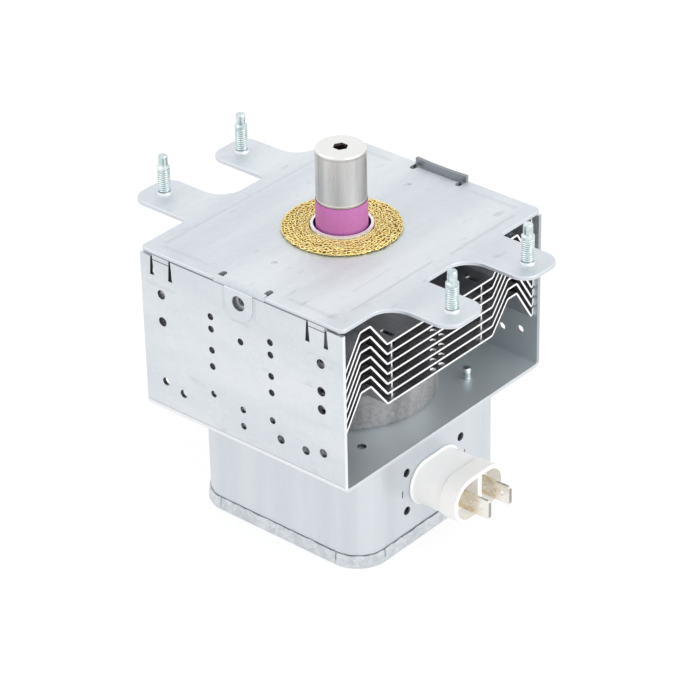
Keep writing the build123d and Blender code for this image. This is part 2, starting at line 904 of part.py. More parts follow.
def make_filter_box():
    """Drawn box, closed at the top, with its stem, capacitor and screw holes."""
    outer = rounded_post(box_length, box_width, box_corner, box_bottom, box_top)
    outer = fillet(outer.edges().group_by(Axis.Z)[-1], box_top_radius)
    inner = rounded_post(
        box_length - 2 * box_sheet,
        box_width - 2 * box_sheet,
        box_corner - box_sheet,
        box_bottom - 1,
        box_top - box_sheet,
    )
    cuts = [disc(sleeve_radius + loose_gap, box_top - 5, box_top + 5)]
    cuts.append(stadium_x(inner_half_width, inner_half_height, box_face_x - 5, box_face_x + 5))
    for x, y in screw_places():
        cuts.append(disc(screw_radius, box_top - 5, box_top + 5, x, y))
    cuts += flange_hole_cutters(flange_hole_radius)
    for side in both_sides:
        y = side * mark_y
        low = (box_face_x - 5, y - mark_slit / 2, capacitor_level - mark_length / 2)
        high = (box_face_x + 5, y + mark_slit / 2, capacitor_level + mark_length / 2)
        cuts.append(block(low, high))
    return outer - inner - cuts


def flange_hole_cutters(radius):
    """Cutters for the four small holes round the capacitor."""
    places = [(a * flange_hole_y, b * flange_hole_z) for a in both_sides for b in both_sides]
    return [bar_x(radius, box_face_x - 5, box_face_x + 5, y, capacitor_level + z) for y, z in places]


def make_filter_box_lid():
    """Lid whose flange is crimped round the box, slit at the ends of each corner."""
    length = box_length + 2 * lid_sheet
    width = box_width + 2 * lid_sheet
    flange_rim = base_level + lid_flange
    outer = rounded_post(length, width, box_corner + lid_sheet, base_level, flange_rim)
    outer = fillet(outer.edges().group_by(Axis.Z)[0], lid_edge_radius)
    inner = rounded_post(box_length, box_width, box_corner, box_bottom, flange_rim + 1)
    lid = outer - inner
    low = base_level + 2 * lid_sheet
    for a in both_sides:
        for b in both_sides:
            x = box_centre_x + a * (box_length / 2 - box_corner)
            y = box_centre_y + b * box_width / 2
            slit = block((x - lid_slit_width / 2, y - 2, low), (x + lid_slit_width / 2, y + 2, 0))
            lid -= slit
            x = box_centre_x + a * box_length / 2
            y = box_centre_y + b * (box_width / 2 - box_corner)
            slit = block((x - 2, y - lid_slit_width / 2, low), (x + 2, y + lid_slit_width / 2, 0))
            lid -= slit
    return lid


def make_case_screws():
    """Two screws up through the box and the yoke's floor."""
    under = box_top - box_sheet
    tip = floor_top + screw_rise
    profile = [
        (0, under - screw_head_height),
        (screw_head_radius, under - screw_head_height),
        (screw_head_radius, under),
        (screw_radius, under),
        (screw_radius, tip - screw_radius / 2),
        (screw_radius / 2, tip),
        (0, tip),
    ]
    screw = turned(profile)
    return Compound(children=[Pos(x, y, 0) * screw for x, y in screw_places()])


def conductor_cutters(start, end):
    """Cutters for the two conductors through the capacitor."""
    return [
        bar_x(conductor_radius, start, end, side * blade_half_spacing, capacitor_level)
        for side in both_sides
    ]


def make_capacitor_body():
    """White moulded neck and mouth on the box's face, recessed round the two blades."""
    inner_face = box_face_x - box_sheet
    neck_end = box_face_x + neck_length
    mouth_end = neck_end + mouth_length
    body = stadium_x(inner_half_width, inner_half_height, inner_face, box_face_x)
    rim_wide = neck_half_width + rim_growth
    rim_high = neck_half_height + rim_growth
    body += soft_stadium_x(rim_wide, rim_high, box_face_x, box_face_x + rim_length)
    body += stadium_x(neck_half_width, neck_half_height, box_face_x, neck_end)
    body += soft_stadium_x(mouth_half_width, mouth_half_height, neck_end, mouth_end)
    recess = stadium_x(
        mouth_half_width - recess_wall,
        mouth_half_height - recess_wall,
        mouth_end - recess_depth,
        mouth_end + 1,
    )
    half_wall = partition_wall / 2
    partition = block(
        (mouth_end - recess_depth - 1, -half_wall, capacitor_level - mouth_half_height),
        (mouth_end + 1, half_wall, capacitor_level + mouth_half_height),
    )
    cuts = [recess - partition]
    cuts += conductor_cutters(inner_face - 1, mouth_end)
    for side in both_sides:
        cuts.append(blade(side, recess_floor_x() - blade_root_length, mouth_end + 1))
    return body - cuts


def recess_floor_x():
    """Depth of the recess's floor along X."""
    return box_face_x + neck_length + mouth_length - recess_depth


def blade(side, start, end):
    """Flat blade of a terminal, upright and along X."""
    y = side * blade_half_spacing
    low = (start, y - blade_sheet / 2, capacitor_level - blade_height / 2)
    return block(low, (end, y + blade_sheet / 2, capacitor_level + blade_height / 2))


def make_terminal_tab(side):
    """Blade with its hole and bevelled tip, and the conductor behind it."""
    start = recess_floor_x() - blade_root_length
    body = blade(side, start, blade_tip_x)
    tip = body.edges().filter_by(Axis.Y).group_by(Axis.X)[-1]
    body = chamfer(tip, blade_sheet)
    y = side * blade_half_spacing
    hole = Pos(blade_tip_x - blade_hole_back, y, capacitor_level) * Rot(90, 0, 0)
    body -= hole * Cylinder(blade_hole_radius, 2 * blade_sheet)
    return body + bar_x(conductor_radius, conductor_inner_x, start, y, capacitor_level)


def make_capacitor_plate():
    """Grounding plate behind the box's wall."""
    wall = box_face_x - box_sheet
    back = wall - flange_sheet
    low = (back, -flange_half_width, capacitor_level - flange_half_height)
    plate = block(low, (wall, flange_half_width, capacitor_level + flange_half_height))
    cuts = conductor_cutters(back - 1, wall + 1) + flange_hole_cutters(flange_hole_radius)
    return plate - cuts


def make_capacitor_ceramic():
    """Dielectric block round the two conductors."""
    face = box_face_x - box_sheet - flange_sheet
    back = face - ceramic_block_length
    wide = inner_half_width - cover_wall
    high = inner_half_height - cover_wall
    body = stadium_x(wide, high, back, face)
    return body - conductor_cutters(back - 1, face + 1)


def make_capacitor_cover():
    """Insulating cover over the dielectric block, inside the box."""
    face = box_face_x - box_sheet - flange_sheet
    back = face - cover_length
    body = stadium_x(inner_half_width, inner_half_height, back, face)
    wide = inner_half_width - cover_wall
    high = inner_half_height - cover_wall
    body -= stadium_x(wide, high, face - ceramic_block_length, face + 1)
    return body - conductor_cutters(back - 1, face + 1)


def make_nodes():
    """All pieces by name."""
    nodes = {
        "top_yoke_plate": make_top_yoke_plate(),
        "yoke_frame": make_yoke_frame(),
        "mounting_studs": make_mounting_studs(),
        "upper_magnet": make_magnet(upper_magnet_radius, flange_top),
        "lower_magnet": make_magnet(lower_magnet_radius, floor_top),
        "anode_cylinder": make_anode_cylinder(),
        "upper_pole_piece": make_upper_pole_piece(),
        "lower_pole_piece": make_lower_pole_piece(),
        "upper_seal_cup": make_upper_seal_cup(),
        "lower_seal_cup": make_lower_seal_cup(),
        "antenna_insulator": make_antenna_insulator(),
        "antenna_seal": make_antenna_seal(),
        "antenna_cap": make_antenna_cap(),
        "exhaust_tube": make_exhaust_tube(),
        "antenna_lead": make_antenna_lead(),
        "rf_gasket": make_rf_gasket(),
        "filament": make_filament(),
        "top_end_hat": make_top_end_hat(),
        "bottom_end_hat": make_bottom_end_hat(),
        "centre_support_rod": make_centre_support_rod(),
        "side_support_rod": make_side_support_rod(),
        "stem_insulator": make_stem_insulator(),
        "filter_box": make_filter_box(),
        "filter_box_lid": make_filter_box_lid(),
        "case_screws": make_case_screws(),
        "capacitor_body": make_capacitor_body(),
        "capacitor_plate": make_capacitor_plate(),
        "capacitor_ceramic": make_capacitor_ceramic(),
        "capacitor_cover": make_capacitor_cover(),
    }
    for index in range(fin_count):
        nodes[f"cooling_fin_{index + 1}"] = make_cooling_fin(index)
    for index in range(vane_count):
        nodes[f"anode_vane_{index + 1:02d}"] = make_anode_vane(index)
    for name, edge, into in (("upper", vane_top, -1), ("lower", vane_bottom, 1)):
        nodes[f"{name}_inner_strap"] = make_strap(strap_inner_radius, edge, into)
        nodes[f"{name}_outer_strap"] = make_strap(strap_outer_radius, edge, into)
    for number, side in ((1, -1), (2, 1)):
        nodes[f"stem_terminal_{number}"] = make_stem_terminal(side)
        nodes[f"choke_coil_{number}"] = make_choke_coil(side)
        nodes[f"choke_core_{number}"] = make_choke_core(side)
        nodes[f"terminal_tab_{number}"] = make_terminal_tab(side)
    return nodes


os.makedirs("parts", exist_ok=True)
for node_name, solid in make_nodes().items():
    export_step(solid, f"parts/{node_name}.step")
    print(node_name)
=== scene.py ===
"""Dressing of a microwave-oven magnetron.

The solids of the part come in as a fixed frame. This file gives each of them its finish, and adds
the pieces whose surface is too fine for the solids: the knitted gasket, the threads of the studs
and screws, and the crimped lid. Lengths are in metres and angles in degrees, but the places of
press marks and patches are in millimetres.
"""

from __future__ import annotations

import logging
import math
from abc import ABC, abstractmethod
from dataclasses import dataclass
from enum import Enum
from functools import cached_property, partial, reduce

import bpy
import numpy as np
from mathutils import Matrix, Vector

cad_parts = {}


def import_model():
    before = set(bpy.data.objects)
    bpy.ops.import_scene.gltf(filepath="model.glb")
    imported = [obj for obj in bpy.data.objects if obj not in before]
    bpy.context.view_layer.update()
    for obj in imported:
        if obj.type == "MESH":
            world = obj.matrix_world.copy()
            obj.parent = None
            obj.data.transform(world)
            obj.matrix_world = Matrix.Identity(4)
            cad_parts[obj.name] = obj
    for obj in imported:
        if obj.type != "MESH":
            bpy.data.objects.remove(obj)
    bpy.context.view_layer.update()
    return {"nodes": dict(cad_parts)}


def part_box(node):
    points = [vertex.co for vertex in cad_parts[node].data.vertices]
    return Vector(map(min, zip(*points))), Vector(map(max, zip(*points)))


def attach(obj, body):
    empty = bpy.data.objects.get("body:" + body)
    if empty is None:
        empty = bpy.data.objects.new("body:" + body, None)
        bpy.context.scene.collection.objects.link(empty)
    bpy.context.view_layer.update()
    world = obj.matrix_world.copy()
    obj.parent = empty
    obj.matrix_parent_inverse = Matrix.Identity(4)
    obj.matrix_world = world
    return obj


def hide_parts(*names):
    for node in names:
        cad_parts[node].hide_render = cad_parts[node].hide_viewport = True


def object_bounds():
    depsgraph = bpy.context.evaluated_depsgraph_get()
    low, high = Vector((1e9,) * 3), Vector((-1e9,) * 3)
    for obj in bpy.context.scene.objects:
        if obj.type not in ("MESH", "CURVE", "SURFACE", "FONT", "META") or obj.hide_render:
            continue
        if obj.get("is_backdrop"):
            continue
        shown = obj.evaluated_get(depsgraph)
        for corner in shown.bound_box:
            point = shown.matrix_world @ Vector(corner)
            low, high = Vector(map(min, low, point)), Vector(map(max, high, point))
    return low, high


Colour = tuple[float, float, float]
Socket = bpy.types.NodeSocket

BODY = "root"
MM = 0.001
LOG = logging.getLogger("magnetron")


class Direction(Enum):
    """Axis along which a finish has its lines or its places, or the distance from the Z axis."""

    X = 0
    Y = 1
    Z = 2
    AWAY = 3


class Falloff(Enum):
    """Where a sheet has upright creases."""

    NONE = "none"
    CORNERS = "corners"


X, Y, Z, AWAY = Direction


# Meshes


class MeshBuilder:
    """Gathers grids of points and makes them one mesh object."""

    def __init__(self, name: str) -> None:
        """Start an empty mesh.

        Args:
            name: Name of the object.
        """
        self.name = name
        self._points: list[np.ndarray] = []
        self._faces: list[list[int]] = []
        self._count = 0

    def add_points(self, points: np.ndarray) -> np.ndarray:
        """Add points of any array shape whose last axis is x, y, z.

        Args:
            points: The points.

        Returns:
            Their indices, in the same shape without the last axis.
        """
        flat = points.reshape(-1, 3)
        index = np.arange(len(flat)) + self._count
        self._points.append(flat)
        self._count += len(flat)
        return index.reshape(points.shape[:-1])

    def add_grid(
        self, points: np.ndarray, wrap_rows: bool = False, wrap_columns: bool = False
    ) -> np.ndarray:
        """Add a grid of points and the four-sided faces between them.

        A face turns outwards where the columns run anticlockwise round rows that climb.

        Args:
            points: Array of rows by columns by three.
            wrap_rows: Join the last row to the first.
            wrap_columns: Join the last column to the first.

        Returns:
            The indices of the grid's points.
        """
        index = self.add_points(points)
        wide = np.vstack([index, index[:1]]) if wrap_rows else index
        if wrap_columns:
            wide = np.hstack([wide, wide[:, :1]])
        corners = (wide[:-1, :-1], wide[:-1, 1:], wide[1:, 1:], wide[1:, :-1])
        self._faces.extend(np.stack(corners, axis=-1).reshape(-1, 4).tolist())
        return index

    def add_cap(self, ring: np.ndarray, middle: np.ndarray) -> None:
        """Close a ring of points with a fan round one middle point.

        Args:
            ring: Indices of the ring, anticlockwise as seen from outside.
            middle: The fan's middle point.
        """
        centre = int(self.add_points(middle.reshape(1, 3))[0])
        fan = np.stack([ring, np.roll(ring, -1), np.full_like(ring, centre)], axis=-1)
        self._faces.extend(fan.tolist())

    def build(self, sharp_angle: float = 35.0) -> bpy.types.Object:
        """Make the object, smooth but for its sharp edges.

        Args:
            sharp_angle: Edges that turn by more than this stay sharp.

        Returns:
            The new object, linked to the scene.
        """
        mesh = bpy.data.meshes.new(self.name)
        mesh.from_pydata(np.concatenate(self._points).tolist(), [], self._faces)
        mesh.validate()
        mesh.shade_smooth()
        mesh.set_sharp_from_angle(angle=math.radians(sharp_angle))
        return put(self.name, mesh)


def put(name: str, data: bpy.types.ID) -> bpy.types.Object:
    """Make an object of some data, and put it in the scene.

    Args:
        name: Name of the object.
        data: Its data.

    Returns:
        The object.
    """
    made = bpy.data.objects.new(name, data)
    bpy.context.scene.collection.objects.link(made)
    return made


def ring_angles(count: int) -> np.ndarray:
    """Angles evenly spaced once round, in radians, from 0 and without the closing one."""
    return np.linspace(0.0, 2.0 * np.pi, count, endpoint=False)


def smooth_noise(position: np.ndarray, periods: tuple[int, ...], seed: int) -> np.ndarray:
    """Closed random wave of -1 to 1, the sum of sines with whole periods and seeded phases.

    Args:
        position: Place along the loop, from 0 to 1.
        periods: Waves per turn of each sine.
        seed: Seed of the phases.

    Returns:
        The wave at each place.
    """
    phases = np.random.default_rng(seed).uniform(0.0, 2.0 * np.pi, len(periods))
    waves = [np.sin(2.0 * np.pi * n * position + p) for n, p in zip(periods, phases)]
    return np.sum(waves, axis=0) / len(periods)


# Node graphs


class Graph:
    """Node tree of a material or of the surroundings, with short calls for what is often used."""

    def __init__(
        self, owner: bpy.types.Material | bpy.types.World, shader: str = "Principled BSDF"
    ) -> None:
        """Start from a plain shader.

        Args:
            owner: What the tree belongs to.
            shader: Name of the shader's node.
        """
        owner.use_nodes = True
        self.nodes = owner.node_tree.nodes
        self.links = owner.node_tree.links
        self.shader = self.nodes[shader]

    @cached_property
    def place(self) -> Socket:
        """Object coordinates."""
        return self.nodes.new("ShaderNodeTexCoord").outputs["Object"]

    def give(self, slot: Socket, value: object) -> None:
        """Join a socket to an input, or set the input to a constant.

        Args:
            slot: The input.
            value: The socket or the constant.
        """
        if isinstance(value, Socket):
            self.links.new(value, slot)
        else:
            slot.default_value = value

    def set(self, **values: object) -> None:
        """Give the shader's own inputs their values.

        Args:
            values: Inputs by name, with underscores for spaces.
        """
        for name, value in values.items():
            self.give(self.shader.inputs[name.replace("_", " ")], value)

    def node(
        self, kind: str, inputs: dict[str | int, object], output: str | int = 0, **options: str
    ) -> Socket:
        """Add a node.

        Args:
            kind: Blender's name of it, after the word that they all start with.
            inputs: Values of its inputs, by name or number.
            output: The output that is wanted.
            options: Its own settings.

        Returns:
            The output.
        """
        made = self.nodes.new("ShaderNode" + kind)
        for name, value in options.items():
            setattr(made, name, value)
        for name, value in inputs.items():
            self.give(made.inputs[name], value)
        return made.outputs[output]

    def noise(
        self, scale: float, detail: float = 3.0, stretch: tuple[float, float, float] = (1, 1, 1)
    ) -> Socket:
        """Noise of about 0 to 1, by its waves in a metre, its finer layers and its stretch."""
        place = self.node("Mapping", {"Scale": stretch, "Vector": self.place})
        return self.node("TexNoise", {"Scale": scale, "Detail": detail, "Vector": place}, "Fac")

    def cells(self, scale: float) -> Socket:
        """Random grey for each of the cells, given per metre, as in the crystals of a zinc coat."""
        colour = self.node("TexVoronoi", {"Scale": scale, "Vector": self.place}, "Color")
        return self.node("RGBToBW", {"Color": colour})

    def axis(self, direction: Direction, folded: bool = False) -> Socket:
        """One of the object coordinates, or the distance from the antenna's axis.

        Args:
            direction: Which one.
            folded: Take it without its sign.

        Returns:
            Its value in metres.
        """
        if direction is AWAY:
            return self.away_from(0.0, 0.0)
        value = self.node("SeparateXYZ", {"Vector": self.place}, direction.value)
        return self.math("ABSOLUTE", value) if folded else value

    def math(self, operation: str, *values: Socket | float) -> Socket:
        """Arithmetic on one or two values, by Blender's name of the operation."""
        return self.node("Math", dict(enumerate(values)), operation=operation)

    def product(self, *values: Socket | float) -> Socket:
        """Product of several values."""
        return reduce(partial(self.math, "MULTIPLY"), values)

    def sum(self, *values: Socket | float) -> Socket:
        """Sum of several values."""
        return reduce(partial(self.math, "ADD"), values)

    def mix(self, first: Socket, second: Socket, share: float) -> Socket:
        """Mean of two values, with the share that the second has in it."""
        return self.sum(self.product(first, 1.0 - share), self.product(second, share))

    def spread(
        self, value: Socket, low: float, high: float, to_low: float, to_high: float
    ) -> Socket:
        """Value carried smoothly from one range into another, and held at its ends."""
        inputs = dict(enumerate((value, low, high, to_low, to_high)))
        return self.node("MapRange", inputs, interpolation_type="SMOOTHSTEP")

    def blend(self, factor: Socket, first: Socket | Colour, second: Colour) -> Socket:
        """Colour between two others.

        Args:
            factor: 0 for the first and 1 for the second.
            first: First colour, or what gives it.
            second: Second colour.

        Returns:
            The mixed colour.
        """
        below = (*first, 1.0) if isinstance(first, tuple) else first
        inputs = {"Factor": factor, 6: below, 7: (*second, 1.0)}
        return self.node("Mix", inputs, 2, data_type="RGBA")

    def shade(
        self, value: Socket, low: float, high: float, first: Colour, second: Colour
    ) -> Socket:
        """Colour that goes from one to another while a value climbs over a range."""
        return self.blend(self.spread(value, low, high, 0.0, 1.0), first, second)

    def ridge(self, value: Socket, place: float, width: float) -> Socket:
        """Bell of height 1 about a place: e to minus the square of the distance in widths."""
        away = self.math("DIVIDE", self.math("SUBTRACT", value, place), width)
        return self.math("EXPONENT", self.product(away, away, -1.0))

    def within(self, value: Socket, low: float, high: float, soft: float = 0.02 * MM) -> Socket:
        """1 between two values and 0 outside, as the product of a soft rise and a soft fall."""
        rise = self.spread(value, low, low + soft, 0.0, 1.0)
        return self.product(rise, self.spread(value, high - soft, high, 1.0, 0.0))

    def away_from(self, x: float, y: float) -> Socket:
        """Distance in plan from a point, or from the nearest of its mirror images."""
        steps = (self.math("SUBTRACT", self.axis(axis, True), at) for axis, at in ((X, x), (Y, y)))
        return self.math("SQRT", self.sum(*(self.product(step, step) for step in steps)))

    def looking(self) -> Socket:
        """1 where a ray looks at its surroundings, straight or by a mirror or glass, else 0."""
        path = self.nodes.new("ShaderNodeLightPath").outputs
        kinds = ("Is Camera Ray", "Is Glossy Ray", "Is Transmission Ray")
        return reduce(partial(self.math, "MAXIMUM"), (path[kind] for kind in kinds))

    def rough(self, value: Socket, first: float, second: float) -> None:
        """Let the roughness go from one to another over a noise's middle range."""
        self.set(Roughness=self.spread(value, 0.3, 0.7, first, second))

    def relief(self, height: Socket, depth: float) -> None:
        """Bump the surface by a height, with the depth in metres that 1 stands for."""
        inputs = {"Distance": depth, "Strength": 1.0, "Height": height}
        self.set(Normal=self.node("Bump", inputs, "Normal"))


# Marks and patches


@dataclass(frozen=True)
class PressMark:
    """Shallow straight line that a press tool leaves in a sheet, in millimetres.

    Attributes:
        across: Axis on which the line has its place.
        place: Its place on that axis.
        along: Axis that the line follows.
        start: Where it starts on that axis.
        end: Where it ends.
        width: Half width.
        height: Height against the finish's depth, below zero for a groove.
        fade: Length over which each end fades.
    """

    across: Direction
    place: float
    along: Direction
    start: float
    end: float
    width: float
    height: float
    fade: float = 2.0

    def relief(self, graph: Graph) -> Socket:
        """Height of the mark: a bell across the line, faded at its ends.

        Args:
            graph: The graph to build in.

        Returns:
            The height.
        """
        bell = graph.ridge(graph.axis(self.across), self.place * MM, self.width * MM)
        along = graph.axis(self.along)
        inside = graph.within(along, self.start * MM, self.end * MM, self.fade * MM)
        return graph.product(bell, inside, self.height)


@dataclass(frozen=True)
class Limit:
    """Stretch of one axis in millimetres, by the coordinate without its sign, or with it.

    Attributes:
        axis: The axis.
        low: Start of the stretch.
        high: End of the stretch.
        signed: Keep the coordinate's sign.
    """

    axis: Direction
    low: float
    high: float
    signed: bool = False


@dataclass(frozen=True)
class Patch:
    """Box of space whose inside takes its own colour, such as the cut edges within a sheet, or
    painted shade, shadow or highlight.

    Attributes:
        colour: The colour.
        limits: The box's stretch on each axis that bounds it.
    """

    colour: Colour
    limits: tuple[Limit, ...]

    def lay(self, graph: Graph, base: Socket) -> Socket:
        """Lay the colour over another inside the box, by the product of a band for each axis.

        Args:
            graph: The graph to build in.
            base: The colour below.

        Returns:
            The mixed colour.
        """
        bands = [
            graph.within(graph.axis(limit.axis, not limit.signed), limit.low * MM, limit.high * MM)
            for limit in self.limits
        ]
        return graph.blend(graph.product(*bands), base, self.colour)


# Finishes


@dataclass(frozen=True)
class Finish(ABC):
    """A finish that can make its material.

    Attributes:
        name: Name of the material.
        solids: Words in the names of the solids that take it.
        pale: Main or bright colour.
        dark: Dull colour, or that of the clouds in the main one.
    """

    name: str
    solids: str
    pale: Colour
    dark: Colour

    @abstractmethod
    def paint(self, graph: Graph) -> None:
        """Build the finish.

        Args:
            graph: The graph to build in.
        """

    def material(self) -> bpy.types.Material:
        """Make the material.

        Returns:
            The material.
        """
        made = bpy.data.materials.new(self.name)
        self.paint(Graph(made))
        return made


@dataclass(frozen=True)
class SheetMetal(Finish):
    """Rolled sheet: cloudy colour, crystals, rolling lines and the marks of the press.

    Attributes:
        lines: Axis that the rolling lines follow.
        roughness: Middle roughness.
        metallic: How metallic it is.
        cloud_scale: Clouds in a metre.
        crystal: Share of the crystals in the colour.
        crystal_scale: Crystals in a metre.
        line_depth: Depth of the rolling lines.
        marks: Press marks.
        mark_depth: Depth of a press mark.
        mark_shade: Share of the dark colour painted along a press mark as shade in its groove.
        creases: Where upright creases run.
        smear: How far the clouds are drawn out along the rolling lines, less than 1.
        scuff: Strength of the sparse dull scuffs along the rolling lines.
        scuff_smear: How far the scuffs are drawn out, less than 1.
        dent: Height of the shallow dents against the depth of a press mark.
        patches: Places with a colour of their own, or with painted shade, shadow or highlights, the
            later over the earlier.
    """

    lines: Direction
    roughness: float
    metallic: float = 1.0
    cloud_scale: float = 55.0
    crystal: float = 0.25
    crystal_scale: float = 900.0
    line_depth: float = 0.004 * MM
    marks: tuple[PressMark, ...] = ()
    mark_depth: float = 0.12 * MM
    mark_shade: float = 0.35
    creases: Falloff = Falloff.NONE
    smear: float = 0.3
    scuff: float = 0.0
    scuff_smear: float = 0.34
    dent: float = 0.12
    patches: tuple[Patch, ...] = ()

    def paint(self, graph: Graph) -> None:
        """Build the finish.

        Args:
            graph: The graph to build in.
        """
        rolled, clouded, scuffed = (
            tuple(factor if axis is self.lines else 1.0 for axis in (X, Y, Z))
            for factor in (0.05, self.smear, self.scuff_smear)
        )
        cloud = graph.noise(self.cloud_scale, 4.0, clouded)
        lines = graph.noise(2600.0, 2.0, rolled)
        mixed = graph.mix(cloud, graph.cells(self.crystal_scale), self.crystal)
        base = graph.shade(mixed, 0.3, 0.7, self.dark, self.pale)
        # Darker colour for the scuffs, which are wear, and for the painted shade along the press
        # marks' grooves.
        dull = tuple(0.7 * part for part in self.dark)
        pressed = [mark.relief(graph) for mark in self.marks]
        for mark in pressed:
            base = graph.blend(graph.product(mark, -self.mark_shade), base, dull)
        if self.scuff > 0.0:
            scuffs = graph.noise(5.0 * self.cloud_scale, 2.0, scuffed)
            base = graph.blend(graph.spread(scuffs, 0.64, 0.80, 0.0, self.scuff), base, dull)
        for patch in self.patches:
            base = patch.lay(graph, base)
        rough = graph.spread(graph.sum(cloud, lines), 0.7, 1.3,
                             self.roughness - 0.06, self.roughness + 0.08)
        graph.set(Metallic=self.metallic, Base_Color=base, Roughness=rough)
        rolling = graph.product(lines, self.line_depth / self.mark_depth)
        dents = graph.product(graph.noise(130.0, 2.0), self.dent)
        height = graph.sum(rolling, dents, *pressed)
        if self.creases is Falloff.CORNERS:
            height = graph.sum(height, self._creases(graph))
        graph.relief(height, self.mark_depth)

    def _creases(self, graph: Graph) -> Socket:
        """Upright streaks where both the X and the Y coordinate are large.

        Args:
            graph: The graph to build in.

        Returns:
            The height of the streaks.
        """
        streaks = graph.noise(420.0, 2.0, (1.0, 1.0, 0.04))
        far_x = graph.spread(graph.axis(X, True), 0.020, 0.030, 0.0, 1.0)
        far_y = graph.spread(graph.axis(Y, True), 0.022, 0.031, 0.0, 1.0)
        return graph.product(streaks, graph.product(far_x, far_y))


@dataclass(frozen=True)
class FinStock(Finish):
    """Brushed aluminium strip, its faces darkened partly as painted shade, and its cut and punched
    edges painted white as a highlight.

    Attributes:
        edge_highlight: Painted white highlight colour of the cut edges.
        half_length: Distance of a sheared end from the antenna's axis.
        tab: Middle of a spacer tab along X.
        tab_half: Half its length.
        hole: Place of a punched hole.
        hole_radius: Its radius.
    """

    edge_highlight: Colour = (1.0, 1.0, 1.0)
    half_length: float = 36.9 * MM
    tab: float = 33.2 * MM
    tab_half: float = 2.3 * MM
    hole: tuple[float, float] = (35.5 * MM, 1.95 * MM)
    hole_radius: float = 0.9 * MM

    def _sheared(self, graph: Graph) -> Socket:
        """1 on the strip's ends, the ends of its tabs and the walls of its holes, 0 elsewhere.

        Args:
            graph: The graph to build in.

        Returns:
            The factor.
        """
        side = graph.axis(X, True)
        start, end = self.half_length - 0.03 * MM, self.half_length - 0.01 * MM
        ends = graph.spread(side, start, end, 0.0, 1.0)
        off_tab = graph.math("ABSOLUTE", graph.math("SUBTRACT", side, self.tab))
        tabs = graph.within(off_tab, self.tab_half - 0.03 * MM, self.tab_half + 0.03 * MM)
        away = graph.away_from(*self.hole)
        holes = graph.within(away, self.hole_radius - 0.04 * MM, self.hole_radius + 0.04 * MM)
        return graph.math("MAXIMUM", ends, graph.math("MAXIMUM", tabs, holes))

    def paint(self, graph: Graph) -> None:
        """Build the finish.

        Args:
            graph: The graph to build in.
        """
        brushed = graph.noise(1900.0, 3.0, (0.03, 1.0, 1.0))
        mixed = graph.mix(brushed, graph.noise(90.0, 4.0, (0.4, 1.0, 1.0)), 0.55)
        # Painted highlight: the cut ends, tab ends and hole walls turn white and less metallic.
        edge_highlight = self._sheared(graph)
        base = graph.shade(mixed, 0.35, 0.65, self.dark, self.pale)
        graph.set(Base_Color=graph.blend(edge_highlight, base, self.edge_highlight),
                  Metallic=graph.spread(edge_highlight, 0.0, 1.0, 1.0, 0.35))
        graph.rough(mixed, 0.34, 0.46)
        graph.relief(brushed, 0.008 * MM)


@dataclass(frozen=True)
class TurnedMetal(Finish):
    """Drawn or turned metal with fine rings round Z.

    Attributes:
        roughness: Middle roughness.
        ring_depth: Depth of the rings.
        stain: Share of slow, cloudy stains in the colour.
    """

    roughness: float
    ring_depth: float = 0.003 * MM
    stain: float = 0.5

    def paint(self, graph: Graph) -> None:
        """Build the finish.

        Args:
            graph: The graph to build in.
        """
        rings = graph.noise(4600.0, 2.0, (0.02, 0.02, 1.0))
        mixed = graph.mix(rings, graph.noise(160.0, 4.0), self.stain)
        graph.set(Metallic=1.0, Base_Color=graph.shade(mixed, 0.32, 0.66, self.dark, self.pale))
        graph.rough(mixed, self.roughness + 0.08, self.roughness - 0.04)
        graph.relief(rings, self.ring_depth)


@dataclass(frozen=True)
class DrawnCap(Finish):
    """Deep-drawn steel cap: drawing streaks up its side and a rolled foot, with painted highlights
    on its top, shoulder and foot and a painted shade ring below the shoulder.

    Attributes:
        highlight_colour: Painted highlight colour of the top, the shoulder and the rolled foot.
        top: Height of the top.
        foot: Height of the foot.
        seam: Colour of the joint under the foot.
    """

    highlight_colour: Colour
    top: float
    foot: float
    seam: Colour = (0.16, 0.13, 0.13)

    def paint(self, graph: Graph) -> None:
        """Build the finish.

        Args:
            graph: The graph to build in.
        """
        height = graph.axis(Z)
        fine = graph.noise(1500.0, 3.0, (1.0, 1.0, 0.03))
        streaks = graph.mix(graph.noise(120.0, 1.0, (1.0, 1.0, 0.02)), fine, 0.15)
        base = graph.shade(streaks, 0.36, 0.64, self.dark, self.pale)
        # Painted shade ring below the shoulder, painted highlights on the shoulder, top and rolled
        # foot, then the dark joint under the foot.
        neck = graph.ridge(height, self.top - 1.15 * MM, 0.3 * MM)
        shoulder = graph.spread(height, self.top - 0.85 * MM, self.top - 0.45 * MM, 0.0, 1.0)
        roll = graph.ridge(height, self.foot + 0.75 * MM, 0.22 * MM)
        joint = graph.ridge(height, self.foot, 0.28 * MM)
        for factor, colour in (
            (graph.product(neck, 0.5), self.dark),
            (shoulder, self.highlight_colour),
            (roll, self.highlight_colour),
            (joint, self.seam),
        ):
            base = graph.blend(factor, base, colour)
        graph.set(Metallic=1.0, Base_Color=base)
        graph.rough(fine, 0.26, 0.36)
        graph.relief(graph.sum(graph.product(fine, 0.05), roll), 0.06 * MM)


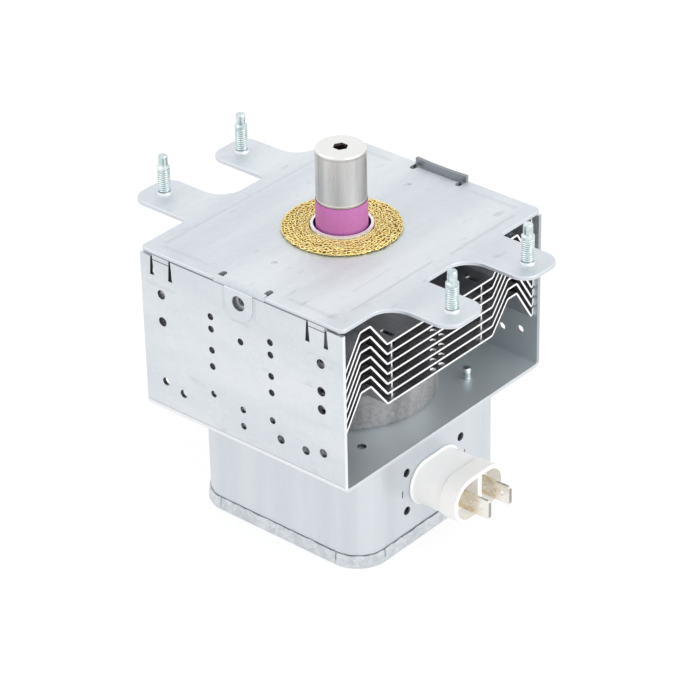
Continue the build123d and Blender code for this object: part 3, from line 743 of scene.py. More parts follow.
@dataclass(frozen=True)
class StudZinc(Finish):
    """Bluish zinc on a threaded stud, with iridescent clouds, darker towards the roots of the
    thread.

    Attributes:
        groove: Colour of the grooves.
        places: Where the studs stand, as x and y without their signs.
        radius: Radius over the thread.
        depth: Depth of the thread.
        thread_top: Height at which the thread ends.
        line: Colour of the painted shadow line just above the staked ring.
        ring_top: Height of the staked ring at the stud's foot.
    """

    groove: Colour
    places: tuple[float, float]
    radius: float
    depth: float
    thread_top: float
    line: Colour = (0.20, 0.26, 0.27)
    ring_top: float = 0.8 * MM

    def paint(self, graph: Graph) -> None:
        """Build the finish.

        Args:
            graph: The graph to build in.
        """
        cloud = graph.noise(420.0, 3.0)
        height = graph.axis(Z)
        base = graph.shade(cloud, 0.38, 0.62, self.dark, self.pale)
        away = graph.away_from(*self.places)
        root, crest = self.radius - self.depth, self.radius - 0.2 * self.depth
        low = graph.spread(away, root, crest, 1.0, 0.0)
        below = graph.spread(height, self.thread_top - 0.1 * MM, self.thread_top, 1.0, 0.0)
        base = graph.blend(graph.product(low, below), base, self.groove)
        # Painted shadow line just above the staked ring.
        foot = graph.ridge(height, self.ring_top + 0.16 * MM, 0.2 * MM)
        base = graph.blend(graph.product(foot, 0.8), base, self.line)
        graph.set(Metallic=1.0, Base_Color=base)
        graph.rough(cloud, 0.22, 0.36)
        graph.relief(graph.noise(2600.0, 2.0), 0.002 * MM)


@dataclass(frozen=True)
class PressedPowder(Finish):
    """Fired or pressed powder, such as alumina or ferrite: fine grain and upright smears.

    Attributes:
        roughness: Middle roughness.
        grain_scale: Grains in a metre.
        grain_depth: Depth of the grain.
    """

    roughness: float = 0.6
    grain_scale: float = 1800.0
    grain_depth: float = 0.01 * MM

    def paint(self, graph: Graph) -> None:
        """Build the finish.

        Args:
            graph: The graph to build in.
        """
        grain = graph.noise(self.grain_scale, 3.0)
        smears = graph.noise(140.0, 4.0, (1.0, 1.0, 0.25))
        mixed = graph.mix(grain, smears, 0.65)
        graph.set(Base_Color=graph.shade(mixed, 0.35, 0.68, self.dark, self.pale))
        graph.rough(smears, self.roughness - 0.1, self.roughness + 0.1)
        graph.relief(grain, self.grain_depth)


@dataclass(frozen=True)
class Moulding(Finish):
    """Moulded plastic with a faint skin texture and a little light under the surface.

    Attributes:
        roughness: Middle roughness.
        under: Weight of the light under the surface.
    """

    roughness: float
    under: float

    def paint(self, graph: Graph) -> None:
        """Build the finish.

        Args:
            graph: The graph to build in.
        """
        cloud = graph.noise(220.0, 3.0)
        graph.set(Subsurface_Weight=self.under, Subsurface_Scale=1.2 * MM,
                  Base_Color=graph.shade(cloud, 0.35, 0.65, self.dark, self.pale))
        graph.rough(cloud, self.roughness - 0.05, self.roughness + 0.05)
        graph.relief(graph.noise(4200.0, 2.0), 0.004 * MM)


@dataclass(frozen=True)
class WireMetal(Finish):
    """Bare or coated wire, with bright and dull patches.

    Attributes:
        roughness: Middle roughness.
        metallic: How metallic it is.
    """

    roughness: float
    metallic: float = 1.0

    def paint(self, graph: Graph) -> None:
        """Build the finish.

        Args:
            graph: The graph to build in.
        """
        cloud = graph.noise(900.0, 3.0)
        graph.set(Metallic=self.metallic,
                  Base_Color=graph.shade(cloud, 0.35, 0.65, self.dark, self.pale))
        graph.rough(cloud, self.roughness + 0.1, self.roughness - 0.08)
        graph.relief(graph.noise(5200.0, 2.0), 0.006 * MM)


@dataclass(frozen=True)
class TinnedBlade(Finish):
    """Tinned brass blade: pale tin over darker brass, rubbed along its length.

    Attributes:
        root: Place on X where the tin starts to cover the brass.
        roughness: Lowest roughness.
        patches: Places with a colour of their own.
    """

    root: float
    roughness: float
    patches: tuple[Patch, ...]

    def paint(self, graph: Graph) -> None:
        """Build the finish.

        Args:
            graph: The graph to build in.
        """
        rubs = graph.noise(900.0, 3.0, (0.6, 1.0, 1.0))
        mixed = graph.mix(rubs, graph.noise(260.0, 4.0), 0.6)
        root = graph.spread(graph.axis(X), self.root, self.root + 5.0 * MM, 1.0, 0.15)
        warm = graph.product(graph.spread(mixed, 0.42, 0.58, 1.0, 0.35), root)
        base = graph.blend(warm, self.pale, self.dark)
        for patch in self.patches:
            base = patch.lay(graph, base)
        graph.set(Metallic=1.0, Base_Color=base)
        graph.rough(rubs, self.roughness, self.roughness + 0.14)
        graph.relief(rubs, 0.02 * MM)


# Marks that the press leaves in the top plate and the yoke

PLATE_MARKS = (
    PressMark(X, 33.2, Y, -36.0, 2.0, 0.45, -0.9),
    PressMark(X, 34.6, Y, 6.0, 38.0, 0.45, -0.9),
    PressMark(X, -33.6, Y, -40.0, 40.0, 0.45, -0.7),
    PressMark(X, 26.5, Y, -28.0, -9.0, 0.3, -0.5),
    PressMark(Y, 40.6, X, 14.0, 34.0, 0.8, -0.6),
    PressMark(Y, -40.6, X, -34.0, -14.0, 0.8, -0.6),
    PressMark(Y, -40.6, X, 14.0, 34.0, 0.8, -0.6),
    PressMark(Y, 40.6, X, -34.0, -14.0, 0.8, -0.6),
)
YOKE_MARKS = (
    PressMark(Z, -11.0, X, -38.0, -24.0, 0.6, -0.5),
    PressMark(Z, -11.4, X, 24.0, 38.0, 0.6, -0.5),
    PressMark(Z, -51.8, X, -38.4, 38.4, 0.3, -0.8),
    PressMark(X, -5.9, Z, -10.0, -0.6, 0.4, -0.8),
    PressMark(X, 5.9, Z, -10.0, -0.6, 0.4, -0.8),
    PressMark(Z, -11.5, X, -4.6, 4.6, 0.4, -0.8),
)


# Cut edges of the sheets and the socket's blades, and the painted shade, shadows, highlights and
# reflection of the sheets and the sleeve

FREE = -1000.0  # start of a stretch without a lower end
# Painted shade for hole walls and hollows, the cut edges' own colour, and a painted highlight
SHADE, CUT, PAINTED_HIGHLIGHT = (0.19, 0.19, 0.20), (0.72, 0.75, 0.79), (0.88, 0.90, 0.92)
# Painted shadow in the gap between plate and walls, painted shade on the far tongue, and a painted
# bluish reflection on the yoke's floor
GAP_SHADOW, FAR_TONGUE_SHADE, FLOOR_SHEEN = (0.25, 0.26, 0.28), (0.31, 0.33, 0.35), (0.90, 0.97, 1.0)
# Painted shade inside the filter box, and painted shade in the lid's slits
INSIDE_SHADE, SLIT_SHADE = (0.05, 0.05, 0.06), (0.40, 0.42, 0.44)
WALL, FLOOR = Limit(Y, 43.83, 44.97), Limit(Z, 52.83, 53.97)
END, FACE = Limit(X, 38.42, 39.0), Limit(Y, 44.97, 45.03)
RIM = Limit(Z, 86.0, 89.1)
MIDDLE = (Limit(X, FREE, 21.0), Limit(Y, FREE, 23.0))
PLATE_PATCHES = (
    Patch(CUT, (Limit(Z, 0.03, 1.17),)),
    # Painted highlight on the staked rings round the studs.
    Patch(PAINTED_HIGHLIGHT, (Limit(Z, 0.12, 0.9, True),)),
    # Painted shadow in the gap between the plate's edge and the walls.
    Patch(GAP_SHADOW, (Limit(Z, 0.92, 1.24), FACE)),
    # Painted highlight that lightens the plate's lug where it shows through the boss's hole.
    Patch(PAINTED_HIGHLIGHT, (Limit(Y, 43.6, 43.8), Limit(Z, 2.6, 9.0))),
    # Painted shade where the plate bends down into its lug by each wall.
    Patch(SHADE, (Limit(Y, 42.9, 44.0), Limit(X, FREE, 11.2), Limit(Z, 0.2, 2.4))),
)
YOKE_PATCHES = (
    # Painted shade on the walls of the holes in the side walls.
    Patch(SHADE, (WALL, Limit(Z, 2.1, 51.0))),
    # Painted shade on the walls of the holes in the floor.
    Patch(SHADE, (FLOOR, Limit(Y, FREE, 42.5))),
    # Painted highlight on the walls' end edges.
    Patch(PAINTED_HIGHLIGHT, (WALL, END)),
    # Painted shade on the far wall's end edges.
    Patch((0.46, 0.49, 0.52), (Limit(Y, 43.83, 44.97, True), END)),
    Patch((0.74, 0.77, 0.80), (FLOOR, END)),
    # Painted shadow in the gap under the plate's edge.
    Patch(GAP_SHADOW, (Limit(Z, 1.16, 1.48), FACE)),
    # Painted bluish reflection that lightens the floor inside the yoke.
    Patch(FLOOR_SHEEN, (Limit(Y, FREE, 43.84), Limit(Z, 52.6, 52.84))),
    # Painted shade on the inner faces of the walls.
    Patch((0.58, 0.64, 0.67), (Limit(Y, 43.6, 43.84), Limit(Z, 2.2, 52.4))),
    # Painted shade that outlines the raised boss round the hole in each wall.
    Patch((0.62, 0.65, 0.68), (Limit(Y, 45.03, 45.25), Limit(Z, 1.4, 12.0))),
    # Painted highlight on the bend at the foot of each wall.
    Patch((0.86, 0.88, 0.90), (Limit(Y, 43.9, 45.1), Limit(Z, 51.9, 54.1), Limit(X, FREE, 38.42))),
    # Painted shadow line where that bend starts.
    Patch((0.52, 0.54, 0.57), (FACE, Limit(Z, 51.72, 51.94))),
    # Painted shade on the far tongue that rises above the plate.
    Patch(FAR_TONGUE_SHADE, (Limit(Y, 42.9, 44.9, True), Limit(Z, 0.02, 2.4, True))),
)
BOX_SHADE_PATCHES = (
    # Painted shadow in the gap just above the lid's flange.
    Patch((0.30, 0.32, 0.35), (Limit(Z, -86.70, -86.06, True),)),
    # Painted shade on the inner faces of the box's walls, seen through its holes.
    Patch(INSIDE_SHADE, (Limit(X, -30.72, -30.4, True), MIDDLE[1])),
    Patch(INSIDE_SHADE, (Limit(X, 33.0, 33.32, True), MIDDLE[1])),
    Patch(INSIDE_SHADE, (Limit(Y, 32.2, 32.92), MIDDLE[0])),
)
LID_SHADE_PATCHES = (
    # Painted shade on the lid's inner floor, inside the box.
    Patch(INSIDE_SHADE, (Limit(Z, 89.84, 89.96), *MIDDLE)),
    # Painted shade in the slits of the flange.
    Patch(SLIT_SHADE, (Limit(X, 23.9, 24.3, True), RIM)),
    Patch(SLIT_SHADE, (Limit(X, -21.7, -21.3, True), RIM)),
    Patch(SLIT_SHADE, (Limit(Y, 23.5, 23.9, True), RIM)),
    Patch(SLIT_SHADE, (Limit(Y, -23.5, -23.1, True), RIM)),
)
BLADE_PATCHES = (
    Patch((0.42, 0.40, 0.36), (Limit(X, 58.9, 59.4),)),
    Patch((0.50, 0.47, 0.42), (Limit(Z, -78.6, -78.1, True),)),
)
SLEEVE_SHADE_PATCHES = (
    # Painted shade, tinted purple by the insulator's reflection, on the sleeve's inner wall.
    Patch((0.09, 0.04, 0.09), (Limit(AWAY, FREE, 8.95), Limit(Z, -20.0, 1.58, True))),
)


# All finishes

STUD_X, STUD_Y = 54.8 * MM, 17.1 * MM
STUD_RADIUS, STUD_THREAD = 1.95 * MM, 0.24 * MM
ZINC = ((0.79, 0.82, 0.85), (0.67, 0.71, 0.75))
FINISHES = (
    SheetMetal("plate_zinc", "top_yoke_plate", *ZINC, Y, 0.56, crystal=0.08,
               line_depth=0.002 * MM, smear=0.16, scuff=0.5, marks=PLATE_MARKS,
               patches=PLATE_PATCHES),
    SheetMetal("yoke_zinc", "yoke_frame", *ZINC, X, 0.45, metallic=0.8, crystal=0.1, scuff=0.3,
               marks=YOKE_MARKS, patches=YOKE_PATCHES),
    SheetMetal("box_zinc", "filter_box capacitor_plate", (0.73, 0.76, 0.80), (0.65, 0.69, 0.73),
               Z, 0.4, crystal=0.06, smear=0.07, cloud_scale=110.0, creases=Falloff.CORNERS,
               patches=BOX_SHADE_PATCHES),
    SheetMetal("lid_zinc", "filter_box_lid", (0.73, 0.76, 0.79), (0.58, 0.61, 0.64), Z, 0.42,
               cloud_scale=200.0, crystal=0.35, patches=LID_SHADE_PATCHES),
    FinStock("fin_aluminium", "cooling_fin", (0.62, 0.62, 0.64), (0.46, 0.46, 0.48)),
    StudZinc("stud_zinc", "mounting_studs", (0.78, 0.86, 0.85), (0.58, 0.69, 0.71),
             (0.48, 0.57, 0.58), (STUD_X, STUD_Y), STUD_RADIUS, STUD_THREAD, 9.0 * MM),
    TurnedMetal("screw_zinc", "case_screws", (0.76, 0.82, 0.84), (0.52, 0.58, 0.62), 0.3),
    PressedPowder("magnet_ferrite", "magnet", (0.37, 0.37, 0.38), (0.20, 0.20, 0.20), 0.45, 900.0,
                  0.03 * MM),
    TurnedMetal("bare_copper", "antenna_lead exhaust_tube anode strap", (0.86, 0.55, 0.40),
                (0.62, 0.34, 0.22), 0.34),
    TurnedMetal("plated_iron", "pole_piece", (0.70, 0.69, 0.67), (0.50, 0.49, 0.48), 0.36),
    DrawnCap("drawn_cap", "antenna_cap", (0.68, 0.66, 0.64), (0.42, 0.405, 0.39),
             (0.86, 0.86, 0.85), 26.4 * MM, 9.7 * MM),
    SheetMetal("plated_sleeve", "seal", (0.97, 0.96, 0.98), (0.90, 0.88, 0.93), Z, 0.42,
               metallic=0.6, crystal=0.0, patches=SLEEVE_SHADE_PATCHES),
    PressedPowder("pink_alumina", "antenna_insulator", (0.58, 0.185, 0.48), (0.50, 0.145, 0.41),
                  0.5),
    PressedPowder("white_alumina", "stem_insulator capacitor_ceramic", (0.88, 0.86, 0.82),
                  (0.80, 0.78, 0.73)),
    WireMetal("gasket_brass", "rf_gasket", (1.0, 0.92, 0.50), (1.0, 0.78, 0.28), 0.32),
    # Dark core that shows between the stitches: its colour is painted shade.
    WireMetal("gasket_core", "", (0.52, 0.34, 0.09), (0.24, 0.13, 0.02), 0.65),
    Moulding("socket_moulding", "capacitor_body capacitor_cover", (0.985, 0.982, 0.97),
             (0.97, 0.96, 0.93), 0.5, 0.1),
    TinnedBlade("tinned_blade", "terminal", (0.90, 0.89, 0.87), (0.74, 0.63, 0.44), 52.5 * MM, 0.24,
                BLADE_PATCHES),
    WireMetal("tungsten_wire", "filament", (0.46, 0.46, 0.48), (0.28, 0.28, 0.30), 0.4),
    TurnedMetal("bright_rod", "end_hat support_rod", (0.66, 0.66, 0.69), (0.50, 0.50, 0.53), 0.3),
    WireMetal("enamelled_wire", "choke_coil", (0.62, 0.26, 0.10), (0.44, 0.15, 0.05), 0.22, 0.6),
    PressedPowder("choke_ferrite", "choke_core", (0.16, 0.16, 0.17), (0.09, 0.09, 0.10), 0.6),
)


def dress(obj: bpy.types.Object, material: bpy.types.Material) -> None:
    """Give an object one material in place of what it has."""
    obj.data.materials.clear()
    obj.data.materials.append(material)


# Sub-assemblies


@dataclass(frozen=True)
class ThreadedBar:
    """Bar turned about an upright axis, threaded over one stretch of its profile.

    Attributes:
        profile: Radius and height of each corner, from the bottom up.
        stretch: Which stretch of the profile is threaded.
        pitch: Rise of the thread in one turn.
        depth: Depth of the thread.
        columns: Points round the bar.
        rows: Points up each turn of the thread.
    """

    profile: tuple[tuple[float, float], ...]
    stretch: int
    pitch: float
    depth: float
    columns: int = 40
    rows: int = 9

    def _add_to(self, builder: MeshBuilder, x: float, y: float) -> None:
        """Add the bar at a place.

        The radius is the profile's, less a trapezium wave whose phase climbs one pitch a turn.

        Args:
            builder: The mesh to add to.
            x: Place of the axis.
            y: Place of the axis.
        """
        corners = np.array(self.profile)
        rows, shares = [], []
        for number, (first, last) in enumerate(zip(corners[:-1], corners[1:])):
            threaded = number == self.stretch
            turns = abs(last[1] - first[1]) / self.pitch
            share = np.linspace(0.0, 1.0, max(int(turns * self.rows), 2) if threaded else 2)
            rows.append(first + share[:, None] * (last - first))
            shares.append(np.clip(6.0 * np.minimum(share, 1.0 - share), 0.0, 1.0) * threaded)
        line, amount = np.concatenate(rows), np.concatenate(shares)[:, None]
        angle, height = ring_angles(self.columns), line[:, 1:]
        phase = np.mod(height / self.pitch - angle / (2.0 * np.pi), 1.0)
        groove = np.clip(1.6 * (1.0 - np.abs(2.0 * phase - 1.0)) - 0.4, 0.0, 1.0)
        radius = line[:, :1] - self.depth * groove * amount
        plan = (x + radius * np.cos(angle), y + radius * np.sin(angle))
        points = np.stack([*plan, np.broadcast_to(height, radius.shape)], axis=-1)
        index = builder.add_grid(points, wrap_columns=True)
        builder.add_cap(index[0][::-1], np.array([x, y, line[0, 1]]))
        builder.add_cap(index[-1], np.array([x, y, line[-1, 1]]))

    def build(self, name: str, places: list[tuple[float, float]]) -> bpy.types.Object:
        """Make one object of several such bars.

        Args:
            name: Name of the object.
            places: Where their axes stand.

        Returns:
            The object.
        """
        builder = MeshBuilder(name)
        for x, y in places:
            self._add_to(builder, x, y)
        return builder.build(28.0)


@dataclass(frozen=True)
class MountingStuds:
    """The four M4 studs in the plate's ears.

    Attributes:
        x: Distance of a stud from the antenna's axis along X.
        y: Distance along Y.
        radius: Radius over the thread.
        shank: Radius of the plain shank inside the plate.
        point: Radius of the plain point.
        point_length: Length of the point.
        undercut: How much thinner the stud is just under its point.
        round_off: Height of the point's rounded end.
        pitch: Rise of the thread in one turn.
        depth: Depth of the thread.
    """

    x: float = STUD_X
    y: float = STUD_Y
    radius: float = STUD_RADIUS
    shank: float = 2.2 * MM
    point: float = 1.45 * MM
    point_length: float = 3.4 * MM
    undercut: float = 0.12 * MM
    round_off: float = 0.45 * MM
    pitch: float = 0.7 * MM
    depth: float = STUD_THREAD

    def build(self) -> bpy.types.Object:
        """Make all four studs as one object.

        Returns:
            The object.
        """
        low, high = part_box("mounting_studs")
        neck = high[2] - self.point_length
        profile = (
            (self.shank, low[2]),
            (self.shank, 0.0),
            (self.radius, 0.0),
            (self.radius, neck - 0.5 * MM),
            (self.point - self.undercut, neck),
            (self.point, neck + 0.25 * MM),
            (self.point, high[2] - self.round_off),
            (self.point - 0.4 * self.round_off, high[2] - 0.3 * self.round_off),
            (self.point - 1.2 * self.round_off, high[2]),
        )
        places = [(side_x * self.x, side_y * self.y) for side_x in (-1, 1) for side_y in (-1, 1)]
        return ThreadedBar(profile, 2, self.pitch, self.depth).build("threaded_studs", places)


@dataclass(frozen=True)
class CaseScrews:
    """The two screws that hold the filter box under the yoke.

    Attributes:
        x: Distance of a screw from the antenna's axis along X.
        y: Distance along Y.
        radius: Radius over the thread.
        head: Radius of the head.
        head_height: Height of the head.
        edge: Size of the head's bevel, by which the tip's is set too.
        pitch: Rise of the thread in one turn.
        depth: Depth of the thread.
    """

    x: float = 27.0 * MM
    y: float = 24.3 * MM
    radius: float = 1.5 * MM
    head: float = 3.0 * MM
    head_height: float = 1.6 * MM
    edge: float = 0.35 * MM
    pitch: float = 0.6 * MM
    depth: float = 0.28 * MM

    def build(self) -> bpy.types.Object:
        """Make both screws as one object.

        Returns:
            The object.
        """
        low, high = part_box("case_screws")
        under, top = low[2] + self.head_height, high[2]
        profile = (
            (self.head - self.edge, low[2]),
            (self.head, low[2] + self.edge),
            (self.head, under),
            (self.radius, under),
            (self.radius, top - 2.0 * self.edge),
            (self.radius - self.edge, top - 0.5 * self.edge),
            (self.radius - 2.2 * self.edge, top),
        )
        bar = ThreadedBar(profile, 3, self.pitch, self.depth, 36)
        places = [(side * self.x, side * self.y) for side in (-1, 1)]
        return bar.build("threaded_case_screws", places)


def unit(vectors: np.ndarray) -> np.ndarray:
    """Vectors, one in each row, at length 1."""
    return vectors / np.linalg.norm(vectors, axis=1, keepdims=True)


@dataclass(frozen=True)
class KnittedGasket:
    """Tube of knitted brass wire, bent into a flat ring round the antenna.

    Attributes:
        inner: Inner radius of the ring.
        middle: Distance from there to where the courses have their spacing.
        wire: Radius of the wire.
        courses: Rows of stitches round the ring.
        stitches: Stitches round the tube.
        samples: Points in a stitch.
        sides: Points round the wire.
        reach: How far a stitch goes to and fro along the ring.
        lean: How far its legs lean, in stitches.
        rise: How far it dips and climbs.
        square: Power of the superellipse that is the tube's section.
        packing: Depth of the core below the outer size.
        lump: Height of the core's lumps.
        core_rows: Points round the core's section.
        core_columns: Points round the ring.
    """

    inner: float = 9.34 * MM
    middle: float = 4.2 * MM
    wire: float = 0.18 * MM
    courses: int = 76
    stitches: int = 11
    samples: int = 9
    sides: int = 5
    reach: float = 0.74 * MM
    lean: float = 0.17
    rise: float = 0.08 * MM
    square: float = 3.2
    packing: float = 0.36 * MM
    lump: float = 0.06 * MM
    core_rows: int = 48
    core_columns: int = 240

    def _place(self, angle: np.ndarray, share: np.ndarray, inset: np.ndarray | float) -> np.ndarray:
        """Point on the ring, whose section is a superellipse that is walked at an even pace.

        Args:
            angle: Angle round the antenna.
            share: Place round the section, from 0 to 1.
            inset: Distance inside the outer size.

        Returns:
            The points.
        """
        low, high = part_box("rf_gasket")
        half_wide, half_thick = (high[0] - self.inner) / 2.0, (high[2] - low[2]) / 2.0
        turn = np.linspace(0.0, 2.0 * np.pi, 721)
        wide, tall = (
            np.sign(wave) * np.abs(wave) ** (2.0 / self.square)
            for wave in (np.cos(turn), np.sin(turn))
        )
        step = np.hypot(np.diff(wide * half_wide), np.diff(tall * half_thick))
        walked = np.concatenate([[0.0], np.cumsum(step)])
        walked /= walked[-1]
        share = np.mod(share, 1.0)
        away = self.inner + half_wide + np.interp(share, walked, wide) * (half_wide - inset)
        height = low[2] + half_thick + np.interp(share, walked, tall) * (half_thick - inset)
        return np.stack([away * np.cos(angle), away * np.sin(angle), height], axis=-1)

    def _wire(self, builder: MeshBuilder, number: int) -> None:
        """Add one course: a closed wire that weaves to and fro along the ring.

        A stitch moves along the ring as a cosine, and its legs lean by the sine of twice the
        turn, so that the loops open like those of plain knitting. The depth follows the same
        double turn, which passes each leg over and under its neighbours.

        Args:
            builder: The mesh to add to.
            number: Which course it is.
        """
        turn = np.arange(self.stitches * self.samples) / self.samples
        wobble = smooth_noise(turn / self.stitches, (2, 5, 9, 13), number)
        lean = self.lean * np.sin(4.0 * np.pi * turn)
        share = (turn + lean + 0.5 * wobble) / self.stitches
        sway = self.reach * (1.0 + 0.5 * wobble) * np.cos(2.0 * np.pi * turn)
        angle = number * (2.0 * np.pi / self.courses) + sway / (self.inner + self.middle)
        inset = self.wire + self.rise * (1.2 + np.cos(4.0 * np.pi * turn) + 0.8 * wobble)
        line = self._place(angle, share, inset)
        ahead = unit(np.roll(line, -1, axis=0) - np.roll(line, 1, axis=0))
        out = line - self._place(angle, share, inset + 0.2 * MM)
        out = unit(out - np.sum(out * ahead, axis=1, keepdims=True) * ahead)
        around = ring_angles(self.sides)[None, :, None]
        spokes = np.cos(around) * out[:, None] + np.sin(around) * np.cross(ahead, out)[:, None]
        builder.add_grid(line[:, None] + self.wire * spokes, wrap_rows=True, wrap_columns=True)

    def build(self) -> tuple[bpy.types.Object, bpy.types.Object]:
        """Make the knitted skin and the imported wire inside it.

        Returns:
            The skin and the core.
        """
        skin = MeshBuilder("knitted_gasket")
        for number in range(self.courses):
            self._wire(skin, number)
        core = MeshBuilder("gasket_core")
        shares = -ring_angles(self.core_rows) / (2.0 * np.pi)
        share, angle = np.meshgrid(shares, ring_angles(self.core_columns), indexing="ij")
        lumps = self.lump * np.sin(104 * angle) * np.sin(2.0 * np.pi * 14 * share)
        grid = self._place(angle, share, self.packing + lumps)
        core.add_grid(grid[::-1], wrap_rows=True, wrap_columns=True)
        return skin.build(80.0), core.build(60.0)


@dataclass(frozen=True)
class CrimpedLid:
    """Lid pressed over the open end of the filter box, with a wavy crimped flange.

    Attributes:
        corner: Outer radius of a corner.
        sheet: Thickness of the sheet.
        slit: Half width of a slit in the flange.
        cut: Depth of a slit in sheets.
        wave: Height of the waves of the flange's edge.
        dent: Depth of the dents in the flange.
        edge: Radius of the bend under the flange.
        lean: Distance by which the flange's edge leans in over the box.
        reach: Width of the flat ring round the fans in the middle, less than the corner.
        straight: Points on each straight of the outline.
        bend: Points on each corner.
    """

    corner: float = 10.8 * MM
    sheet: float = 0.8 * MM
    slit: float = 0.28 * MM
    cut: float = 0.8
    wave: float = 0.12 * MM
    dent: float = 0.09 * MM
    edge: float = 0.7 * MM
    lean: float = 0.26 * MM
    reach: float = 10.0 * MM
    straight: int = 120
    bend: int = 60

    def _outline(self) -> tuple[np.ndarray, np.ndarray, np.ndarray, float]:
        """Outer outline: four straights and four quarter circles, walked from the middle of +X.

        Returns:
            The points, the outward normals, the share of the way walked at each, and the length.
        """
        low, high = (np.array(corner)[:2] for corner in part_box("filter_box_lid"))
        half = (high - low) / 2.0
        inner = half - self.corner
        straight = np.linspace(0.0, 1.0, self.straight, endpoint=False)
        bend = np.linspace(0.0, 1.0, self.bend, endpoint=False)
        points, normals = [], []
        for turn in np.arange(4) * np.pi / 2.0:
            facing = np.array([np.cos(turn), np.sin(turn)])
            along = np.array([-np.sin(turn), np.cos(turn)])
            side = abs(along @ inner)
            offsets = np.outer((2.0 * straight - 1.0) * side, along)
            sweep = turn + bend * np.pi / 2.0
            spoke = np.stack([np.cos(sweep), np.sin(sweep)], axis=-1)
            centre = facing * abs(facing @ inner) + along * side
            points += [facing * abs(facing @ half) + offsets, centre + self.corner * spoke]
            normals += [np.tile(facing, (len(straight), 1)), spoke]
        line = np.concatenate(points) + (low + high) / 2.0
        steps = np.linalg.norm(np.roll(line, -1, axis=0) - line, axis=1)
        length = np.sum(steps)
        walked = np.concatenate([[0.0], np.cumsum(steps)[:-1]]) / length
        return line, np.concatenate(normals), walked, length

    def _slits(self, walked: np.ndarray, length: float) -> np.ndarray:
        """Depth of the slits, which stand where a corner meets a straight: a flat-topped bell.

        Args:
            walked: Share of the outline walked at each point.
            length: Length of the outline.

        Returns:
            0 away from a slit and 1 in it.
        """
        depth = np.zeros(len(walked))
        starts = np.arange(4) * (self.straight + self.bend)
        for place in walked[np.concatenate([starts, starts + self.straight])]:
            away = (np.mod(walked - place + 0.5, 1.0) - 0.5) * length
            depth = np.maximum(depth, np.exp(-((away / self.slit) ** 4)))
        return depth

    def build(self) -> bpy.types.Object:
        """Make the lid as one closed shell.

        Each row of the grid is the outline moved inwards by a distance and set at a height.

        Returns:
            The object.
        """
        low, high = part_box("filter_box_lid")
        line, normal, walked, length = self._outline()
        slits = self._slits(walked, length)
        waves = self.wave * np.tanh(2.5 * smooth_noise(walked, (17, 29, 43, 61), 3))
        dents = self.dent * smooth_noise(walked, (23, 37, 51, 88), 5)
        base, rim = low[2], high[2] - self.wave + waves
        grid = []

        def add_row(height: np.ndarray | float, inset: float, cut: float = 0.0,
                    rough: float = 0.0, lean: float = 0.0) -> None:
            """Add a row of points.

            Args:
                height: Its height, one number or one for each point.
                inset: Plain distance inwards.
                cut: Share of the slits' depth.
                rough: Share of the dents.
                lean: Share of the lean.
            """
            move = inset + cut * slits * self.sheet * self.cut + rough * (dents + self.dent)
            if lean:
                move = np.minimum(move + self.lean * lean, 0.9 * self.sheet)
            moved = line - normal * move[:, None]
            grid.append(np.column_stack([moved, np.broadcast_to(height, len(line))]))

        add_row(base, self.reach)
        add_row(base, 2.4 * self.edge)
        add_row(base, self.edge)
        add_row(base + 0.3 * self.edge, 0.3 * self.edge)
        add_row(base + self.edge, 0.0, 0.2, 0.2)
        add_row(base + 2.0 * self.edge, 0.0, 1.0, 0.6)
        for share in np.linspace(0.45, 1.0, 6):
            add_row(base + share * (rim - base), 0.0, 1.0, 1.0 + 0.3 * share, share**6)
        add_row(rim, 0.92 * self.sheet)
        add_row(base + self.sheet, 0.92 * self.sheet)
        add_row(base + self.sheet, self.reach)
        builder = MeshBuilder("crimped_lid")
        index = builder.add_grid(np.array(grid), wrap_columns=True)
        middle = np.append(line.mean(axis=0), base)
        builder.add_cap(index[0][::-1], middle)
        builder.add_cap(index[-1], middle + np.array([0.0, 0.0, self.sheet]))
        return builder.build(40.0)


@dataclass(frozen=True)
class Lamp:
    """Square soft lamp that faces the object.

    Attributes:
        name: Name of the lamp.
        place: Its place.
        size: Length of its side.
        power: Its power in watts.
        aim: The point that it faces.
    """

    name: str
    place: tuple[float, float, float]
    size: float
    power: float
    aim: tuple[float, float, float] = (0.0, 0.0, -0.03)

    def build(self) -> None:
        """Hang the lamp."""
        data = bpy.data.lights.new(self.name, "AREA")
        data.size, data.energy = self.size, self.power
        made = put(self.name, data)
        made.location = self.place
        aim = Vector(self.aim) - Vector(self.place)
        made.rotation_euler = aim.to_track_quat("-Z", "Y").to_euler()


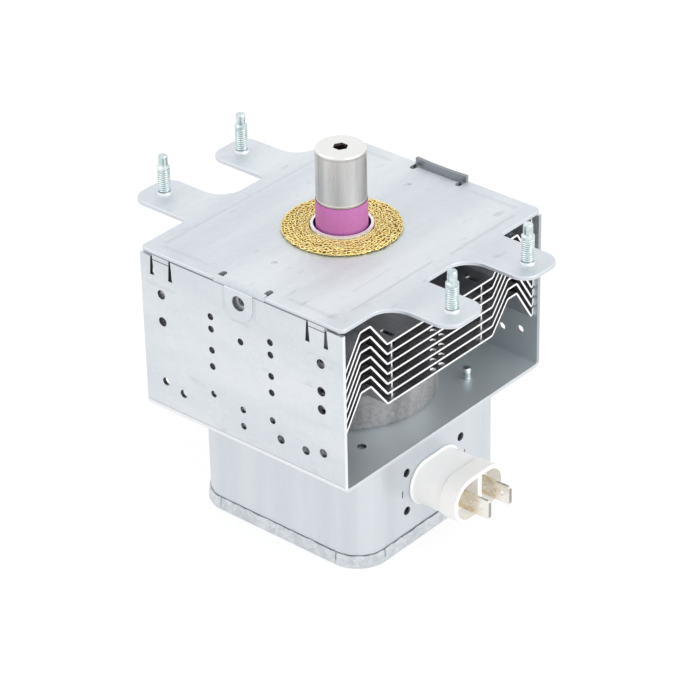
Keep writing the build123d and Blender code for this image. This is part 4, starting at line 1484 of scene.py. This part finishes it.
@dataclass(frozen=True)
class Studio:
    """Plain pale floor, soft lamps and the photograph's camera.

    Attributes:
        azimuth: Angle of the camera round Z from -Y towards +X.
        elevation: Angle of the camera above the floor.
        roll: Turn of the camera about its own axis.
        distance: Distance from the point it looks at.
        target: The point it looks at.
        lens: Focal length for a sensor 36 mm wide.
        floor_glow: Share of plain white in what the camera sees of the floor.
        floor_white: Strength of that white.
        floor_half: Half the floor's width.
        sky: Strength of the surroundings as light.
        lamps: The lamps.
    """

    azimuth: float = 41.24
    elevation: float = 31.11
    roll: float = -1.26
    distance: float = 1.08757
    target: tuple[float, float, float] = (-0.09823, 0.11001, -0.12740)
    lens: float = 162.996
    floor_glow: float = 0.8
    floor_white: float = 1.04
    floor_half: float = 3.0
    sky: float = 1.0
    lamps: tuple[Lamp, ...] = (
        Lamp("key_lamp", (-0.7, -0.6, 1.1), 0.9, 2.6),
        Lamp("fill_lamp", (1.2, 0.1, 0.55), 1.0, 5.0),
    )

    def camera(self) -> None:
        """Make the camera and set it as the scene's own."""
        azimuth, elevation, roll = map(math.radians, (self.azimuth, self.elevation, self.roll))
        flat = math.cos(elevation)
        back = Vector((math.sin(azimuth) * flat, -math.cos(azimuth) * flat, math.sin(elevation)))
        right = (-back).cross(Vector((0.0, 0.0, 1.0))).normalized()
        up = right.cross(-back)
        rolled_right = right * math.cos(roll) + up * math.sin(roll)
        rolled_up = up * math.cos(roll) - right * math.sin(roll)
        turn = Matrix((rolled_right, rolled_up, back)).transposed()
        data = bpy.data.cameras.new("photo_camera")
        data.sensor_width, data.lens, data.clip_start = 36.0, self.lens, 0.01
        eye = put("photo_camera", data)
        place = Vector(self.target) + back * self.distance
        eye.matrix_world = Matrix.Translation(place) @ turn.to_4x4()
        bpy.context.scene.camera = eye

    def world(self) -> None:
        """White surroundings, at full strength where seen or mirrored, at the sky's as light."""
        world = bpy.data.worlds.new("pale_room")
        graph = Graph(world, "Background")
        level = graph.node("MapRange", {"Value": graph.looking(), "To Min": self.sky})
        graph.set(Color=(1.0, 1.0, 1.0, 1.0), Strength=level)
        bpy.context.scene.world = world

    def floor(self) -> None:
        """Pale floor that keeps a faint shadow."""
        builder = MeshBuilder("pale_floor")
        span = np.array([-self.floor_half, self.floor_half])
        x, y = np.meshgrid(span, span)
        builder.add_grid(np.stack([x, y, np.full_like(x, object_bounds()[0][2])], axis=-1))
        ground = builder.build()
        material = bpy.data.materials.new("pale_floor")
        graph = Graph(material)
        graph.set(Roughness=0.9, Base_Color=(0.92, 0.92, 0.92, 1.0))
        glow = graph.node("Emission", {"Strength": self.floor_white})
        share = graph.product(graph.looking(), self.floor_glow)
        mixed = graph.node("MixShader", {0: share, 1: graph.shader.outputs[0], 2: glow})
        graph.give(graph.nodes["Material Output"].inputs["Surface"], mixed)
        dress(ground, material)
        ground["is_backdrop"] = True

    def build(self) -> None:
        """Set up the whole studio."""
        self.camera()
        self.world()
        self.floor()
        for lamp in self.lamps:
            lamp.build()
        bpy.context.scene.view_settings.view_transform = "Standard"
        LOG.info("studio: %d lamps", len(self.lamps))


class Magnetron:
    """The whole object: the frame's solids and the pieces made here."""

    def __init__(self, nodes: dict[str, bpy.types.Object]) -> None:
        """Keep the frame's solids by name, and make every material."""
        self.nodes = nodes
        self.materials = {finish.name: finish.material() for finish in FINISHES}

    def dress_solids(self) -> None:
        """Give each solid of the frame the finish that has the longest word of its name."""
        owners = {word: finish.name for finish in FINISHES for word in finish.solids.split()}
        for name, solid in sorted(self.nodes.items()):
            word = max((word for word in owners if word in name), key=len)
            dress(solid, self.materials[owners[word]])
        LOG.info("dressed %d solids", len(self.nodes))

    def _fit_out(self, piece: bpy.types.Object, material: str, slot: str, *nodes: str) -> None:
        """Finish a new piece that stands for solids of the frame.

        Args:
            piece: The new piece.
            material: Name of its material.
            slot: Not used.
            nodes: The solids that it stands for.
        """
        dress(piece, self.materials[material])
        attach(piece, BODY)
        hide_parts(*nodes)
        LOG.info("%s: %d faces for %s", piece.name, len(piece.data.polygons), ", ".join(nodes))

    def add_pieces(self) -> None:
        """Make the pieces whose surface is too fine for the solids."""
        self._fit_out(MountingStuds().build(), "stud_zinc", "stud_zinc", "mounting_studs")
        self._fit_out(CaseScrews().build(), "screw_zinc", "stud_zinc", "case_screws")
        skin, core = KnittedGasket().build()
        self._fit_out(skin, "gasket_brass", "gasket_mesh", "rf_gasket")
        self._fit_out(core, "gasket_core", "gasket_mesh", "rf_gasket")
        self._fit_out(CrimpedLid().build(), "lid_zinc", "box_steel", "filter_box_lid")


def main() -> None:
    """Load the frame, dress it, add the fine pieces and set up the studio."""
    logging.basicConfig(level=logging.INFO, format="%(name)s %(message)s")
    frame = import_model()
    magnetron = Magnetron(frame["nodes"])
    magnetron.dress_solids()
    Studio().build()
    magnetron.add_pieces()


if __name__ == "__main__":
    main()
